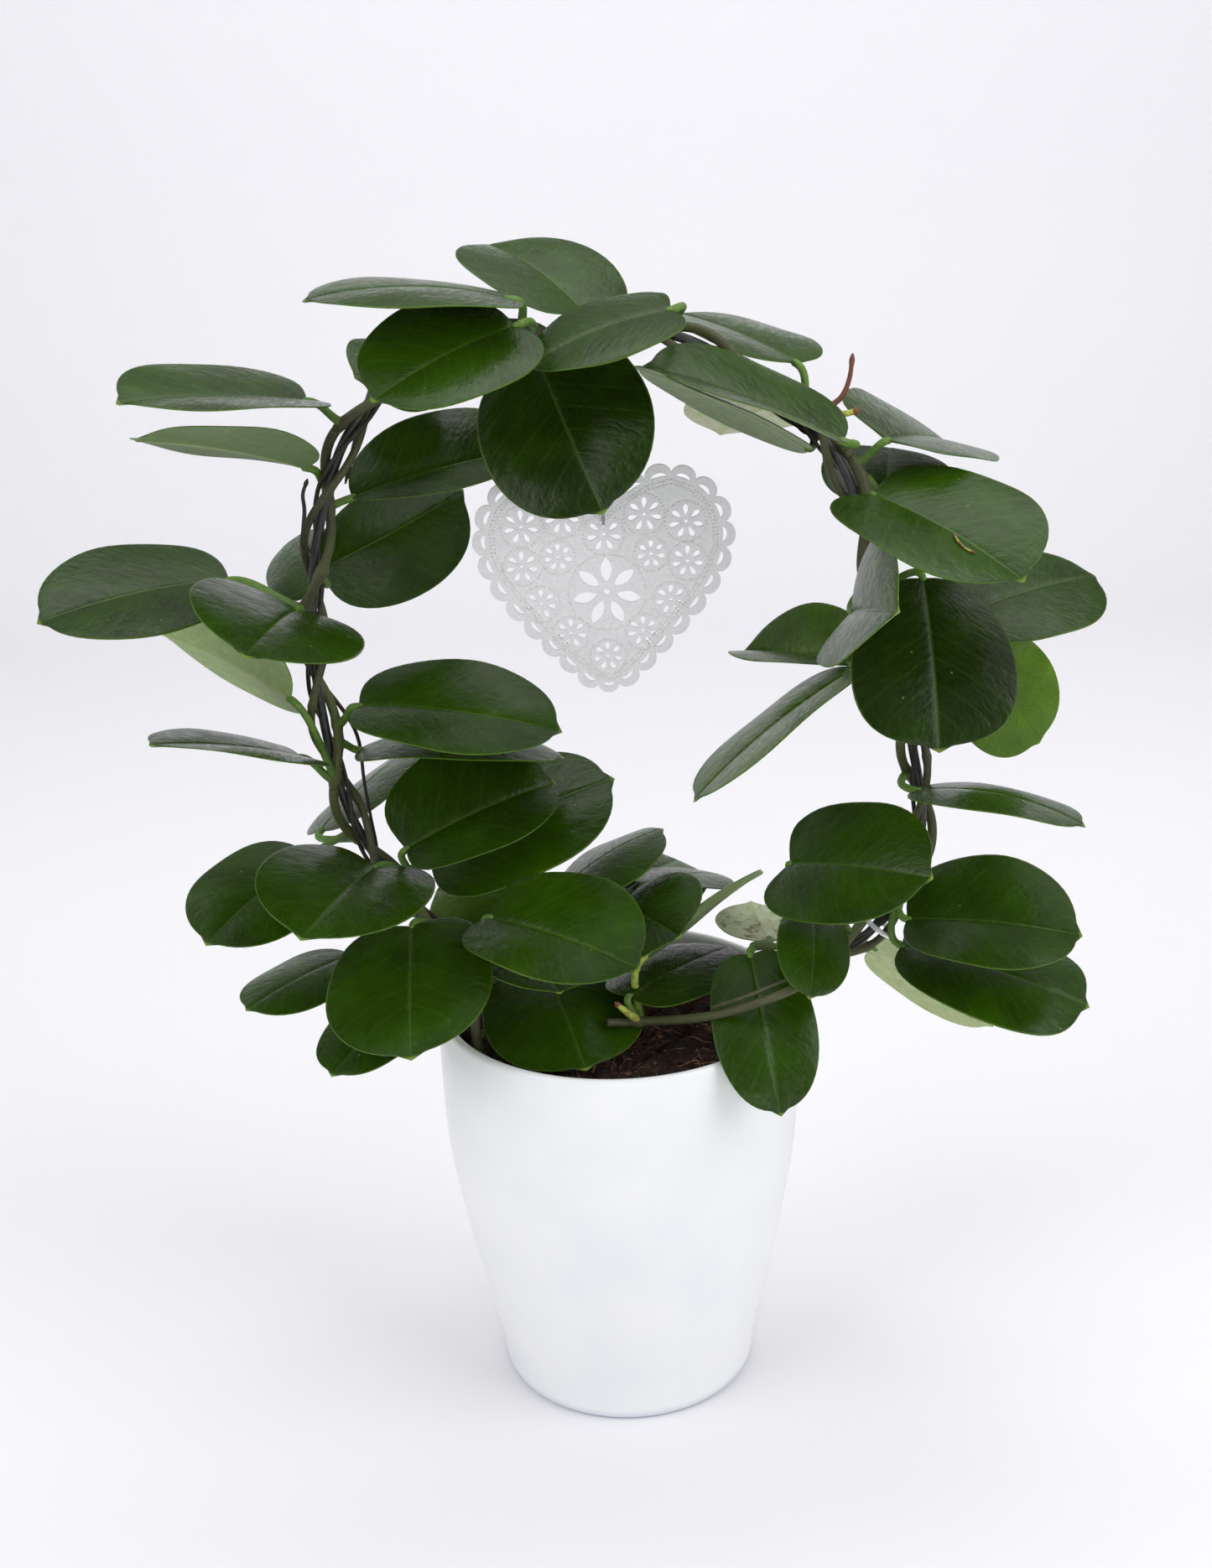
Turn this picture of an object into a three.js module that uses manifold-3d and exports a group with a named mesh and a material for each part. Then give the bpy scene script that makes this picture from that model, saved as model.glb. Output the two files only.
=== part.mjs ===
import * as THREE from 'three';
import { mergeVertices } from 'three/addons/utils/BufferGeometryUtils.js';
import Module from 'manifold-3d';

// A hoya in a white pot: twining stems carry thick round leaves round a wire hoop, and a pierced
// metal heart hangs inside the hoop. Millimetres, +Z up, origin in the middle of the pot's foot.

const wasm = await Module();
wasm.setup();

// pot: outer radius at each height, then the wall
const potHeight = 155;
const potSide = [[47.5, 0], [49.3, 2], [51, 15], [54.3, 30], [60.5, 60], [66.8, 100], [68, 140], [67.2, 153]];
const potWall = 4;
const potFloor = 5;
const segments = 36;

// potting mix: a low crumbly mound with plain holes for everything that stands in it
const mixLevel = 144;
const mixCrumb = 2.2;

// hoop: one loop of coated wire, both legs in the mix
const wireRadius = 1.7;
const hoopRoute = [
  [-32, 112], [-37, 135], [-44, 158], [-56, 177], [-73, 192], [-89, 219], [-97, 239], [-101, 262],
  [-103, 290], [-101, 320], [-95, 346], [-84, 371], [-64, 391], [-32, 400], [0, 401], [26, 399],
  [48, 388], [71, 370], [86, 348], [94, 322], [101, 290], [110, 250], [114, 222], [109, 200],
  [98, 181], [84, 169], [68, 164], [57, 158], [46, 146], [40, 130], [37, 112],
];

// two stems twine round the wire on opposite sides of it
const twineRadius = 4.5;
const twineTurns = 11;
const leafyStemRadius = 1.9;
const bareStemRadius = 1.5;
const cutGap = 0.4;

// leaves: thickness, how far the margins droop, petiole radius
const leafThickness = 1;
const marginDroop = 3;
const petioleRadius = 1.6;

// Each leaf: foot of the blade, tip, the way its upper face looks, width, fold of the two halves in
// degrees, rise of the midrib, then how far the lobes run back and the widest place moves to the tip.
// Each leafy stem: its stretch of the hoop, or a route of its own, then its leaves and bare shoots.
const leafyStems = {
  stem_low_left: {
    stretch: [0.02, 0.2],
    leaves: [
      { foot: [-112, 6, 214], tip: [-143, -43, 201], face: [-0.2, -0.7, 0.7], width: 48, fold: 8, rise: 3 },
      { foot: [-86, -10, 215], tip: [-105, -69, 213], face: [0.2, -0.1, 1], width: 61, fold: 13, rise: 3, lobe: 0.12 },
      { foot: [-74, -14, 193], tip: [-71, -71, 168], face: [-0.1, -0.9, 0.5], width: 61, fold: 8, rise: 3, ahead: 0.04 },
      { foot: [-100, 4, 174], tip: [-134, -32, 170], face: [0, -0.1, 1], width: 36, fold: 1, rise: 2, lobe: 0.04 },
      { foot: [-72, -18, 168], tip: [-101, -58, 156], face: [0, 0, 1], width: 40, fold: 6, rise: 3 },
      { foot: [-75, -6, 220], tip: [-20, 16, 236], face: [-0.15, -0.6, 0.9], width: 60, fold: 26, rise: 3, lobe: 0.1 },
      { foot: [-68, 11, 208], tip: [2, 21, 235], face: [-0.3, -0.45, 0.85], width: 62, fold: 2, rise: 3 },
      { foot: [-40, 18, 190], tip: [-70, 40, 184], face: [-0.3, -0.5, 0.85], width: 42, fold: 5, rise: 2 },
      { foot: [-110, 22, 218], tip: [-75, 62, 238], face: [-0.5, 0, 0.9], width: 46, fold: 0, rise: 2 },
    ],
    shoots: [],
  },
  stem_mid_left: {
    stretch: [0.2, 0.285],
    leaves: [
      { foot: [-88, -6, 275], tip: [-16, -14, 265], face: [0.1, -0.3, 1], width: 58, fold: 12, rise: 3 },
      { foot: [-90, 2, 256], tip: [-16, 2, 250], face: [0.1, 0.1, 1], width: 50, fold: -3, rise: 9 },
      { foot: [-110, -4, 256], tip: [-155, -40, 274], face: [0.2, 0.2, 1], width: 54, fold: 8, rise: 2, lobe: 0.06, ahead: -0.14 },
      { foot: [-112, -4, 278], tip: [-162, 23, 297], face: [0.55, 0.65, 0.5], width: 50, fold: 18, rise: 2, at: 0.206 },
    ],
    shoots: [],
  },
  stem_high_left: {
    stretch: [0.285, 0.37],
    leaves: [
      { foot: [-106, -8, 311], tip: [-114, -69, 311], face: [0.35, -0.3, 0.9], width: 60, fold: 10, rise: 3 },
      { foot: [-131, 4, 320], tip: [-190, -30, 315], face: [0.1, -0.3, 0.9], width: 60, fold: 10, rise: 3, at: 0.288 },
      { foot: [-100, 14, 316], tip: [-119, 58, 321], face: [-0.5, -0.3, 0.8], width: 32, fold: 5, rise: 2, at: 0.304 },
      { foot: [-100, 13, 321], tip: [-50, 48, 341], face: [0.6, -0.8, -0.1], width: 53, fold: 25, rise: 2, ahead: 0.05, at: 0.307 },
      { foot: [-99, -6, 360], tip: [-147, -44, 377], face: [0.05, 0.33, 0.9], width: 50, fold: 13, rise: 2, lobe: 0.03, ahead: 0.06, at: 0.342 },
      { foot: [-86, 6, 347], tip: [-23, 29, 358], face: [0.1, -0.4, 0.9], width: 52, fold: 25, rise: 2, lobe: 0, ahead: 0.12 },
    ],
    shoots: [],
  },
  stem_top_left: {
    stretch: [0.37, 0.475],
    leaves: [
      { foot: [-97, -4, 382], tip: [-152, -41, 388], face: [0.2, -0.1, 1], width: 56, fold: 14, rise: 2, lobe: 0.1 },
      { foot: [-27, -20, 414], tip: [-91, -38, 417], face: [0, -0.1, 1], width: 52, fold: 4, rise: 4, lobe: 0.1 },
      { foot: [-25, -26, 406], tip: [-69, -60, 388], face: [-0.3, -0.7, 0.6], width: 52, fold: 10, rise: 3 },
      { foot: [-59, 38, 385], tip: [-83, 14, 387], face: [0, -0.7, 0.7], width: 40, fold: 5, rise: 2 },
    ],
    shoots: [],
  },
  stem_top: {
    stretch: [0.475, 0.56],
    leaves: [
      { foot: [-19, -6, 394], tip: [1, -41, 347], face: [-0.1, -1, 0.2], width: 59, fold: 6, rise: 3 },
      { foot: [25, -24, 409], tip: [-22, -30, 393], face: [-0.1, -0.3, 0.95], width: 46, fold: 6, rise: 3, lobe: 0.1, ahead: -0.06, at: 0.532 },
      { foot: [-3, 3, 407], tip: [-36, 41, 428], face: [0, -0.05, 1], width: 57, fold: 11, rise: 3, lobe: 0.12, ahead: 0.03 },
    ],
    shoots: [],
  },
  stem_top_right: {
    stretch: [0.56, 0.63],
    leaves: [
      { foot: [69, 10, 387], tip: [30, 54, 401], face: [0.2, -0.1, 1], width: 54, fold: 8, rise: 2, lobe: 0.04 },
      { foot: [80, -30, 366], tip: [15, -27, 392], face: [0.4, -0.2, 0.9], width: 53, fold: 20, rise: 2, ahead: 0.05, at: 0.625 },
      { foot: [73, 7, 358], tip: [13, 11, 388], face: [0.4, 0.25, 0.9], width: 46, fold: 0, rise: 2, ahead: 0.06 },
      { foot: [65, 30, 371], tip: [47, 79, 353], face: [0, 0.7, 0.8], width: 48, fold: 10, rise: 2 },
    ],
    shoots: [],
  },
  stem_high_right: {
    stretch: [0.63, 0.7],
    leaves: [
      { foot: [99, 0, 361], tip: [128, 46, 352], face: [0.6, 0.35, 0.72], width: 60, fold: 15, rise: 2, lobe: 0.1 },
      { foot: [101, 16, 336], tip: [108, 52, 350], face: [0, -0.6, 0.8], width: 48, fold: 6, rise: 2 },
      { foot: [93, -8, 344], tip: [134, -60, 324], face: [0.2, -0.6, 0.8], width: 62, fold: 14, rise: 3, lobe: 0.12, ahead: 0.03 },
      { foot: [86, -12, 304], tip: [93, -68, 318], face: [-0.85, -0.24, 0.5], width: 50, fold: 22, rise: 2, lobe: 0.04, at: 0.69 },
      { foot: [112, -2, 313], tip: [111, -46, 263], face: [0, -1, 0.2], width: 57, fold: 6, rise: 4, lobe: 0, ahead: 0.12 },
    ],
    shoots: [],
  },
  stem_mid_right: {
    stretch: [0.7, 0.79],
    leaves: [
      { foot: [128, 4, 298], tip: [180, 25, 305], face: [0, -0.4, 0.95], width: 52, fold: 3, rise: 2 },
      { foot: [132, 14, 284], tip: [161, 20, 243], face: [0.2, -0.9, 0.2], width: 42, fold: 5, rise: 2, lobe: 0.04, ahead: 0.05 },
      { foot: [88, 6, 280], tip: [52, 40, 277], face: [0.1, -0.4, 0.95], width: 52, fold: 28, rise: 2, lobe: 0.03 },
      { foot: [88, -4, 281], tip: [29, -25, 241], face: [-0.6, 0.05, 0.8], width: 54, fold: 8, rise: 3, lobe: 0.03 },
      { foot: [109, -16, 239], tip: [162, -45, 234], face: [0.2, 0.05, 1], width: 44, fold: 3, rise: 5, at: 0.785 },
    ],
    shoots: [],
  },
  stem_low_right: {
    stretch: [0.79, 0.975],
    leaves: [
      { foot: [107, -13, 188], tip: [168, -27, 185], face: [-0.1, -0.4, 0.9], width: 57, fold: 19, rise: 3 },
      { foot: [106, -8, 175], tip: [170, -34, 160], face: [0.1, -0.3, 1], width: 54, fold: 2, rise: 3, ahead: 0.14 },
      { foot: [100, 18, 163], tip: [144, 4, 134], face: [0.6, 0.6, 0.6], width: 54, fold: 2, rise: 2 },
    ],
    shoots: [],
  },
  runner_front: {
    route: [[-4, -34, 161], [8, -32, 160], [31, -46, 168], [52, -58, 180], [63, -56, 184], [74, -43, 186], [85, -25, 188]],
    meets: 0.86,
    radius: 1.7,
    leaves: [
      { foot: [10, -16, 178], tip: [57, 14, 198], face: [-0.5, 0.5, 0.75], width: 38, fold: 6, rise: 2, lobe: 0.04 },
      { foot: [4, -30, 169], tip: [44, 12, 168], face: [0, 0, 1], width: 43, fold: 2, rise: 2 },
      { foot: [48, -30, 184], tip: [55, -69, 140], face: [0, -1, 0.25], width: 37, fold: 8, rise: 4 },
      { foot: [57, -9, 180], tip: [53, 28, 180], face: [-0.1, 0.1, -1], width: 34, fold: 6, rise: 2 },
      { foot: [64, -14, 212], tip: [108, -57, 222], face: [0, -0.7, 0.7], width: 53, fold: 12, rise: 3, lobe: 0.14 },
      { foot: [72, -22, 197], tip: [65, -66, 183], face: [0, -1, 0.3], width: 27, fold: 8, rise: 3, lobe: 0.04 },
    ],
    shoots: [
      { route: [[74, -43, 186], [64, -30, 186], [50, -23, 184]], radius: 1.4 },
      { route: [[85, -25, 188], [80, -20, 195], [71, -16, 204]], radius: 1.4 },
    ],
  },
  shoot_front: {
    route: [[-45, -30, 114], [-48, -30, 138], [-52, -28, 154], [-51, -24, 168], [-46, -17, 186]],
    radius: 1.8,
    leaves: [
      { foot: [-27, 1, 167], tip: [-12, -51, 151], face: [0, -0.3, 0.95], width: 59, fold: 1, rise: 2, lobe: 0.1 },
      { foot: [-41, -10, 186], tip: [-20, -46, 179], face: [0.2, 0, 1], width: 42, fold: 5, rise: 2 },
      { foot: [-45, -23, 199], tip: [8, -59, 193], face: [-0.1, -0.3, 0.9], width: 57, fold: 19, rise: 3, lobe: 0.08 },
    ],
    shoots: [{ route: [[-52, -28, 154], [-38, -18, 158], [-23, -3, 163]], radius: 1.4 }],
  },
  shoot_back: {
    route: [[3, 18, 114], [3, 17, 145], [5, 17, 168], [8, 18, 184]],
    radius: 1.8,
    leaves: [
      { foot: [2, 4, 190], tip: [23, -33, 193], face: [-0.3, -0.4, 0.9], width: 48, fold: 8, rise: 2 },
      { foot: [-20, 11, 194], tip: [20, 24, 213], face: [-0.4, 0, 0.9], width: 50, fold: -3, rise: 3, ahead: 0.06 },
      { foot: [4, 30, 185], tip: [27, 66, 183], face: [0.2, -0.1, 1], width: 46, fold: 6, rise: 2 },
      { foot: [12, 20, 192], tip: [43, 43, 185], face: [0.1, 0.2, 1], width: 40, fold: 4, rise: 2, lobe: 0.02 },
    ],
    shoots: [],
  },
};

// heart: foot points of its scallops on the right half, from the cleft down to the tip
const heartThickness = 1.2;
const heartPlace = [1, 1, 274.5];
const scallopFeet = [
  [0, 66], [6.5, 71.5], [14.8, 76.3], [24, 78.3], [32.3, 75.3], [38.8, 69], [42.3, 60.5], [42, 51.5],
  [39, 43], [34, 35.5], [28.2, 28.3], [22.3, 21.5], [16.3, 15], [10.3, 8.8], [3.6, 3.4],
];
const scallopRise = 0.42;
const heartFlowers = [
  [0, 57.5, 6.1], [14.3, 64, 6.1], [28.7, 61, 6.1], [16.3, 50, 4.9], [29, 47, 5.6], [22.8, 33.5, 5.4],
  [12.7, 22.5, 5.4], [0, 13.7, 5.2],
];
const heartMiddle = [0.4, 37, 12.4];
const hangerRadius = 0.5;

const vec = (p) => new THREE.Vector3(...p);

const material = (color, roughness, metalness = 0) =>
  new THREE.MeshStandardMaterial({ color, roughness, metalness });

const potWhite = material(0xe9ebed, 0.3);
const mixBrown = material(0x3a2419, 0.95);
const wireBlack = material(0x2b2c2a, 0.5);
const stemBrown = material(0x5b5a3c, 0.7);
const leafGreen = material(0x2a5216, 0.35);
const heartWhite = material(0xdfe0de, 0.4);
const tieClear = material(0xe4e6e4, 0.3);

// merged positions of any closed geometry, as a solid
function solid(geometry) {
  const plain = geometry.index ? geometry.toNonIndexed() : geometry;
  for (const name of ['normal', 'uv']) plain.deleteAttribute(name);
  const merged = mergeVertices(plain, 1e-4);
  return new wasm.Manifold(new wasm.Mesh({
    numProp: 3,
    vertProperties: new Float32Array(merged.attributes.position.array),
    triVerts: new Uint32Array(merged.index.array),
  }));
}

function geometryOf(body) {
  const mesh = body.getMesh();
  const geometry = new THREE.BufferGeometry();
  geometry.setAttribute('position', new THREE.BufferAttribute(new Float32Array(mesh.vertProperties), 3));
  geometry.setIndex(new THREE.BufferAttribute(new Uint32Array(mesh.triVerts), 1));
  geometry.computeVertexNormals();
  return geometry;
}

// closed solid from rows of points; an end row is either a single point or a flat ring
function skin(rows) {
  const index = [];
  let start = 0;
  for (let r = 0; r < rows.length; r++) {
    const here = rows[r].length;
    const next = rows[r + 1]?.length ?? 0;
    const count = Math.max(here, next);
    for (let i = 0; next && i < count; i++) {
      const j = (i + 1) % count;
      const [a, b] = here > 1 ? [start + i, start + j] : [start, start];
      const [c, d] = next > 1 ? [start + here + i, start + here + j] : [start + here, start + here];
      if (here > 1) index.push(a, b, d);
      if (next > 1) index.push(a, d, c);
    }
    const flat = here > 1 && (r === 0 || !next);
    for (let i = 0; flat && 2 * i + 3 < here; i++) {
      const quad = [i, i + 1, here - 2 - i, here - 1 - i].map((k) => start + k);
      const order = r === 0 ? [0, 2, 1, 0, 3, 2] : [0, 1, 2, 0, 2, 3];
      index.push(...order.map((k) => quad[k]));
    }
    if (flat && here % 2 === 1) {
      const middle = start + (here - 1) / 2;
      index.push(...(r === 0 ? [middle + 1, middle, middle - 1] : [middle - 1, middle, middle + 1]));
    }
    start += here;
  }
  const geometry = new THREE.BufferGeometry();
  const positions = rows.flat().flatMap((p) => p.toArray());
  geometry.setAttribute('position', new THREE.BufferAttribute(new Float32Array(positions), 3));
  geometry.setIndex(index);
  return geometry;
}

// round tube along a curve
function tube(curve, radius, sides, step) {
  const corners = Array.from({ length: sides }, (_, k) => {
    const turn = (2 * Math.PI * k) / sides;
    return new THREE.Vector2(radius * Math.cos(turn), radius * Math.sin(turn));
  });
  const steps = Math.max(2, Math.round(curve.getLength() / step));
  const options = { steps, extrudePath: curve, bevelEnabled: false };
  return solid(new THREE.ExtrudeGeometry(new THREE.Shape(corners), options));
}

const smooth = (points) => new THREE.CatmullRomCurve3(points, false, 'catmullrom', 0.5);
const curveThrough = (points) => smooth(points.map(vec));
const hoopCurve = curveThrough(hoopRoute.map(([x, z]) => [x, 0, z]));
const hoopLength = hoopCurve.getLength();

// outward direction of a twining stem at a fraction of the hoop, and its middle line
function twineOut(at, side) {
  const along = hoopCurve.getTangentAt(at);
  const out = new THREE.Vector3(-along.z, 0, along.x);
  const turn = 2 * Math.PI * (twineTurns * at + side);
  return out.multiplyScalar(Math.cos(turn)).addScaledVector(new THREE.Vector3(0, -1, 0), Math.sin(turn));
}

const twinePoint = (at, side) => hoopCurve.getPointAt(at).addScaledVector(twineOut(at, side), twineRadius);

// place just outside the leafy stem, where a runner ends against it
const twineBeside = (at) => twinePoint(at, 0).addScaledVector(twineOut(at, 0), leafyStemRadius + 1.5 * cutGap);

function twine(from, to, side, step) {
  const count = Math.max(2, Math.round(((to - from) * hoopLength) / step));
  return Array.from({ length: count + 1 }, (_, i) => twinePoint(from + ((to - from) * i) / count, side));
}

const wireLine = hoopCurve.getSpacedPoints(300);
const bareLine = [...twine(0.02, 0.48, 0.5, 3), ...twine(0.505, 0.975, 0.5, 3)];

// blade: rows from the foot to the tip, each row across both halves and back underneath
function blade(leaf) {
  const last = 6;
  const foot = vec(leaf.foot);
  const along = vec(leaf.tip).sub(foot);
  const length = along.length();
  along.normalize();
  const face = vec(leaf.face);
  face.addScaledVector(along, -face.dot(along)).normalize();
  const side = new THREE.Vector3().crossVectors(along, face);
  const fold = THREE.MathUtils.degToRad(leaf.fold);
  const rows = [[foot]];
  for (let i = 1; i <= last; i++) {
    const turn = (Math.PI * (i === last ? last - 0.2 : i)) / last;
    const back = (leaf.lobe ?? 0.06) * Math.max(0, Math.sin(2 * turn));
    const reach = 0.5 - 0.5 * Math.cos(turn) - back + (leaf.ahead ?? 0) * Math.sin(turn) ** 2;
    const edge = 0.965 * length * reach;
    const half = (leaf.width / 2) * Math.sin(turn) ** 0.85;
    const upper = [];
    const lower = [];
    for (const across of [-1, -0.55, 0, 0.55, 1]) {
      const rib = i === last ? length : Math.max(edge, 2 * i);
      const x = rib + (edge - rib) * Math.abs(across);
      const u = Math.min(Math.max(x / length, 0), 1);
      const out = half * across;
      const lift = leaf.rise * 4 * u * (1 - u) + Math.abs(out) * Math.sin(fold);
      const droop = marginDroop * (out / (leaf.width / 2)) ** 2;
      const p = foot.clone().addScaledVector(along, x).addScaledVector(side, out * Math.cos(fold));
      p.addScaledVector(face, lift - droop);
      upper.push(p.clone().addScaledVector(face, leafThickness / 2));
      lower.unshift(p.clone().addScaledVector(face, -leafThickness / 2));
    }
    rows.push([...upper, ...lower]);
  }
  return solid(skin(rows));
}

// petiole: leaves the stem outwards and meets the blade's foot along the midrib
function petioleCurve(leaf, start, out) {
  const foot = vec(leaf.foot);
  const along = vec(leaf.tip).sub(foot).normalize();
  const reach = start.distanceTo(foot);
  return new THREE.CubicBezierCurve3(
    start,
    start.clone().addScaledVector(out, Math.min(8, 0.5 * reach)),
    foot.clone().addScaledVector(along, -Math.min(9, 0.4 * reach)),
    foot.clone().addScaledVector(along, 1),
  );
}

const petiole = (curve) => tube(curve, petioleRadius, 5, 7);

// how far a petiole comes too near to the wire or the other stem
function crowding(curve) {
  let worst = 0;
  for (const p of curve.getPoints(8)) {
    for (const q of wireLine) worst = Math.max(worst, wireRadius + petioleRadius + 0.6 - p.distanceTo(q));
    for (const q of bareLine) worst = Math.max(worst, bareStemRadius + petioleRadius + 0.6 - p.distanceTo(q));
  }
  return worst;
}

// place on a twining stem that lies near the leaf, looks towards it and keeps its petiole clear
function petioleOnTwine(leaf, [from, to]) {
  const foot = vec(leaf.foot);
  const leaving = (at) => {
    const start = twinePoint(at, 0);
    const out = foot.clone().sub(start).normalize().addScaledVector(twineOut(at, 0), 0.6);
    return petioleCurve(leaf, start, out.normalize());
  };
  if (leaf.at) return leaving(leaf.at);
  let best = null;
  for (let i = 0; i <= 40; i++) {
    const at = from + 0.004 + ((to - from - 0.008) * i) / 40;
    const towards = foot.clone().sub(hoopCurve.getPointAt(at)).normalize();
    const curve = leaving(at);
    const near = foot.distanceTo(curve.v0) + 10 * (1 - towards.dot(twineOut(at, 0)));
    const cost = near + 40 * crowding(curve);
    if (!best || cost < best.cost) best = { cost, curve };
  }
  return best.curve;
}

// place on a route of its own: the nearest point, leaving towards the leaf
function petioleOnRoute(leaf, curves) {
  const foot = vec(leaf.foot);
  const places = curves.flatMap((curve) => curve.getSpacedPoints(12).slice(1));
  const near = places.sort((a, b) => a.distanceTo(foot) - b.distanceTo(foot));
  return petioleCurve(leaf, near[0], foot.clone().sub(near[0]).normalize());
}

const bareStem = (from, to) => tube(smooth(twine(from, to, 0.5, 4)), bareStemRadius, 5, 12);

function leafyStem(stem) {
  const curves = [];
  let body;
  if (stem.stretch) {
    const [from, to] = stem.stretch;
    const trim = cutGap / 2 / hoopLength;
    body = tube(smooth(twine(from + trim, to - trim, 0, 4)), leafyStemRadius, 5, 12);
  } else {
    const points = stem.route.map(vec);
    if (stem.meets) points.push(twineBeside(stem.meets));
    curves.push(smooth(points));
    body = tube(curves[0], stem.radius, 5, 11);
  }
  for (const shoot of stem.shoots) {
    const curve = curveThrough(shoot.route);
    curves.push(curve);
    body = body.add(tube(curve, shoot.radius, 5, 11));
  }
  for (const leaf of stem.leaves) {
    const curve = stem.stretch ? petioleOnTwine(leaf, stem.stretch) : petioleOnRoute(leaf, curves);
    body = body.add(petiole(curve)).add(blade(leaf));
  }
  return body;
}

function latheProfile(profile) {
  const points = profile.map(([r, z]) => new THREE.Vector2(r, z));
  return new THREE.LatheGeometry(points, segments).rotateX(Math.PI / 2);
}

const potRadiusAt = (z) => {
  const i = Math.max(1, potSide.findIndex(([, h]) => h >= z));
  const [[r0, z0], [r1, z1]] = [potSide[i - 1], potSide[i]];
  return r0 + ((r1 - r0) * (z - z0)) / (z1 - z0);
};

// pot: flat-bottomed shell with a soft rounded lip
function pot() {
  const outside = [[0, 0], ...potSide, [66.2, potHeight], [64.3, potHeight]];
  const inside = [150, 136, 100, 60, 15].map((z) => [potRadiusAt(z) - potWall, z]);
  const profile = [...outside, ...inside, [potRadiusAt(potFloor) - potWall, potFloor], [0, potFloor]];
  return solid(latheProfile(profile));
}

// potting mix: stands on the pot's floor, clear of its wall, crumbly on top
function pottingMix() {
  const clear = potWall + 0.5;
  const side = [potFloor + 0.3, 15, 60, 100, 136].map((z) => [potRadiusAt(z) - clear, z]);
  const top = [[52, mixLevel + 1], [38, mixLevel], [22, mixLevel + 1], [9, mixLevel + 2]];
  const geometry = latheProfile([[0, potFloor + 0.3], ...side, ...top, [0, mixLevel + 1]]);
  const place = geometry.attributes.position;
  for (let i = 0; i < place.count; i++) {
    const [x, y, z] = [place.getX(i), place.getY(i), place.getZ(i)];
    const crumb = Math.sin(0.31 * x + 1.3) * Math.cos(0.27 * y) + 0.5 * Math.sin(0.5 * x - 0.4 * y);
    if (z > mixLevel - 2) place.setZ(i, z + mixCrumb * crumb);
  }
  let body = solid(geometry);
  const holeRadius = twineRadius + leafyStemRadius + 0.6;
  for (const leg of [wireLine.slice(0, 18), wireLine.slice(-18).reverse()]) {
    const below = leg[0].clone().addScaledVector(leg[3].clone().sub(leg[0]).normalize(), -3);
    body = body.subtract(tube(smooth([below, leg[5], leg[11], leg[17]]), holeRadius, 10, 12));
  }
  for (const stem of [leafyStems.shoot_front, leafyStems.shoot_back]) {
    const [first, ...rest] = stem.route.map(vec);
    first.z -= 1;
    body = body.subtract(tube(smooth([first, ...rest]), stem.radius + 0.4, 8, 11));
  }
  return body;
}

function hoop() {
  return tube(hoopCurve, wireRadius, 6, 15);
}

// ring of one scallop between two foot points, bulging outwards
function scallop(a, b, count) {
  const chord = new THREE.Vector2(b[0] - a[0], b[1] - a[1]);
  const out = new THREE.Vector2(-chord.y, chord.x).normalize().multiplyScalar(chord.length() * scallopRise);
  return Array.from({ length: count }, (_, i) => {
    const turn = (Math.PI * i) / count;
    const t = 0.5 - 0.5 * Math.cos(turn);
    const bulge = Math.sin(turn);
    return new THREE.Vector2(a[0] + chord.x * t + out.x * bulge, a[1] + chord.y * t + out.y * bulge);
  });
}

// pointed slit inside each scallop
function scallopSlit(a, b) {
  const middle = new THREE.Vector2((a[0] + b[0]) / 2, (a[1] + b[1]) / 2);
  const chord = new THREE.Vector2(b[0] - a[0], b[1] - a[1]);
  const out = new THREE.Vector2(-chord.y, chord.x).normalize();
  const place = (s, t) => middle.clone().addScaledVector(chord, s).addScaledVector(out, t);
  return [place(-0.3, -1), place(0, 0.6), place(0.3, -1), place(0, -0.6)];
}

// petal-shaped holes round a middle
function flowerHoles([x, z, reach], petals, inner, width, petalPoints) {
  return Array.from({ length: petals }, (_, i) => {
    const turn = (2 * Math.PI * i) / petals + Math.PI / 2;
    const out = new THREE.Vector2(Math.cos(turn), Math.sin(turn));
    const side = new THREE.Vector2(-out.y, out.x);
    const place = (r, s) => new THREE.Vector2(x, z).addScaledVector(out, r).addScaledVector(side, s);
    const wide = inner + (reach - inner) * 0.7;
    if (petalPoints === 3) return [place(inner, 0), place(reach - 0.4, width / 2), place(reach - 0.4, -width / 2)];
    return [place(inner, 0), place(wide, width / 2), place(reach, 0), place(wide, -width / 2)];
  });
}

// heart: flat plate in the hoop's plane, cut by the slits, the flowers and the middle flower
function heart() {
  const mirrored = scallopFeet.map(([x, z]) => [-x, z]).reverse();
  const feet = [...mirrored.slice(0, -1), ...scallopFeet];
  const outline = feet.flatMap((foot, i) => scallop(foot, feet[(i + 1) % feet.length], 4));
  const holes = feet.map((foot, i) => scallopSlit(foot, feet[(i + 1) % feet.length]));
  for (const [x, z, reach] of heartFlowers) {
    for (const side of x === 0 ? [1] : [1, -1]) {
      holes.push(...flowerHoles([side * x, z, reach], 7, 2, 2.2, 3));
    }
  }
  holes.push(...flowerHoles(heartMiddle, 7, 3.6, 4, 4));
  const cuts = holes.map((points) => plate(points, heartThickness + 2));
  return plate(outline, heartThickness).subtract(wasm.Manifold.union(cuts));
}

// flat plate standing in the hoop's plane, its outline given in the heart's own frame
function plate(outline, thickness) {
  const geometry = new THREE.ExtrudeGeometry(new THREE.Shape(outline), { depth: thickness, bevelEnabled: false });
  const [x, y, z] = heartPlace;
  return solid(geometry.rotateX(Math.PI / 2).translate(x, y + thickness / 2, z));
}

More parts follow.
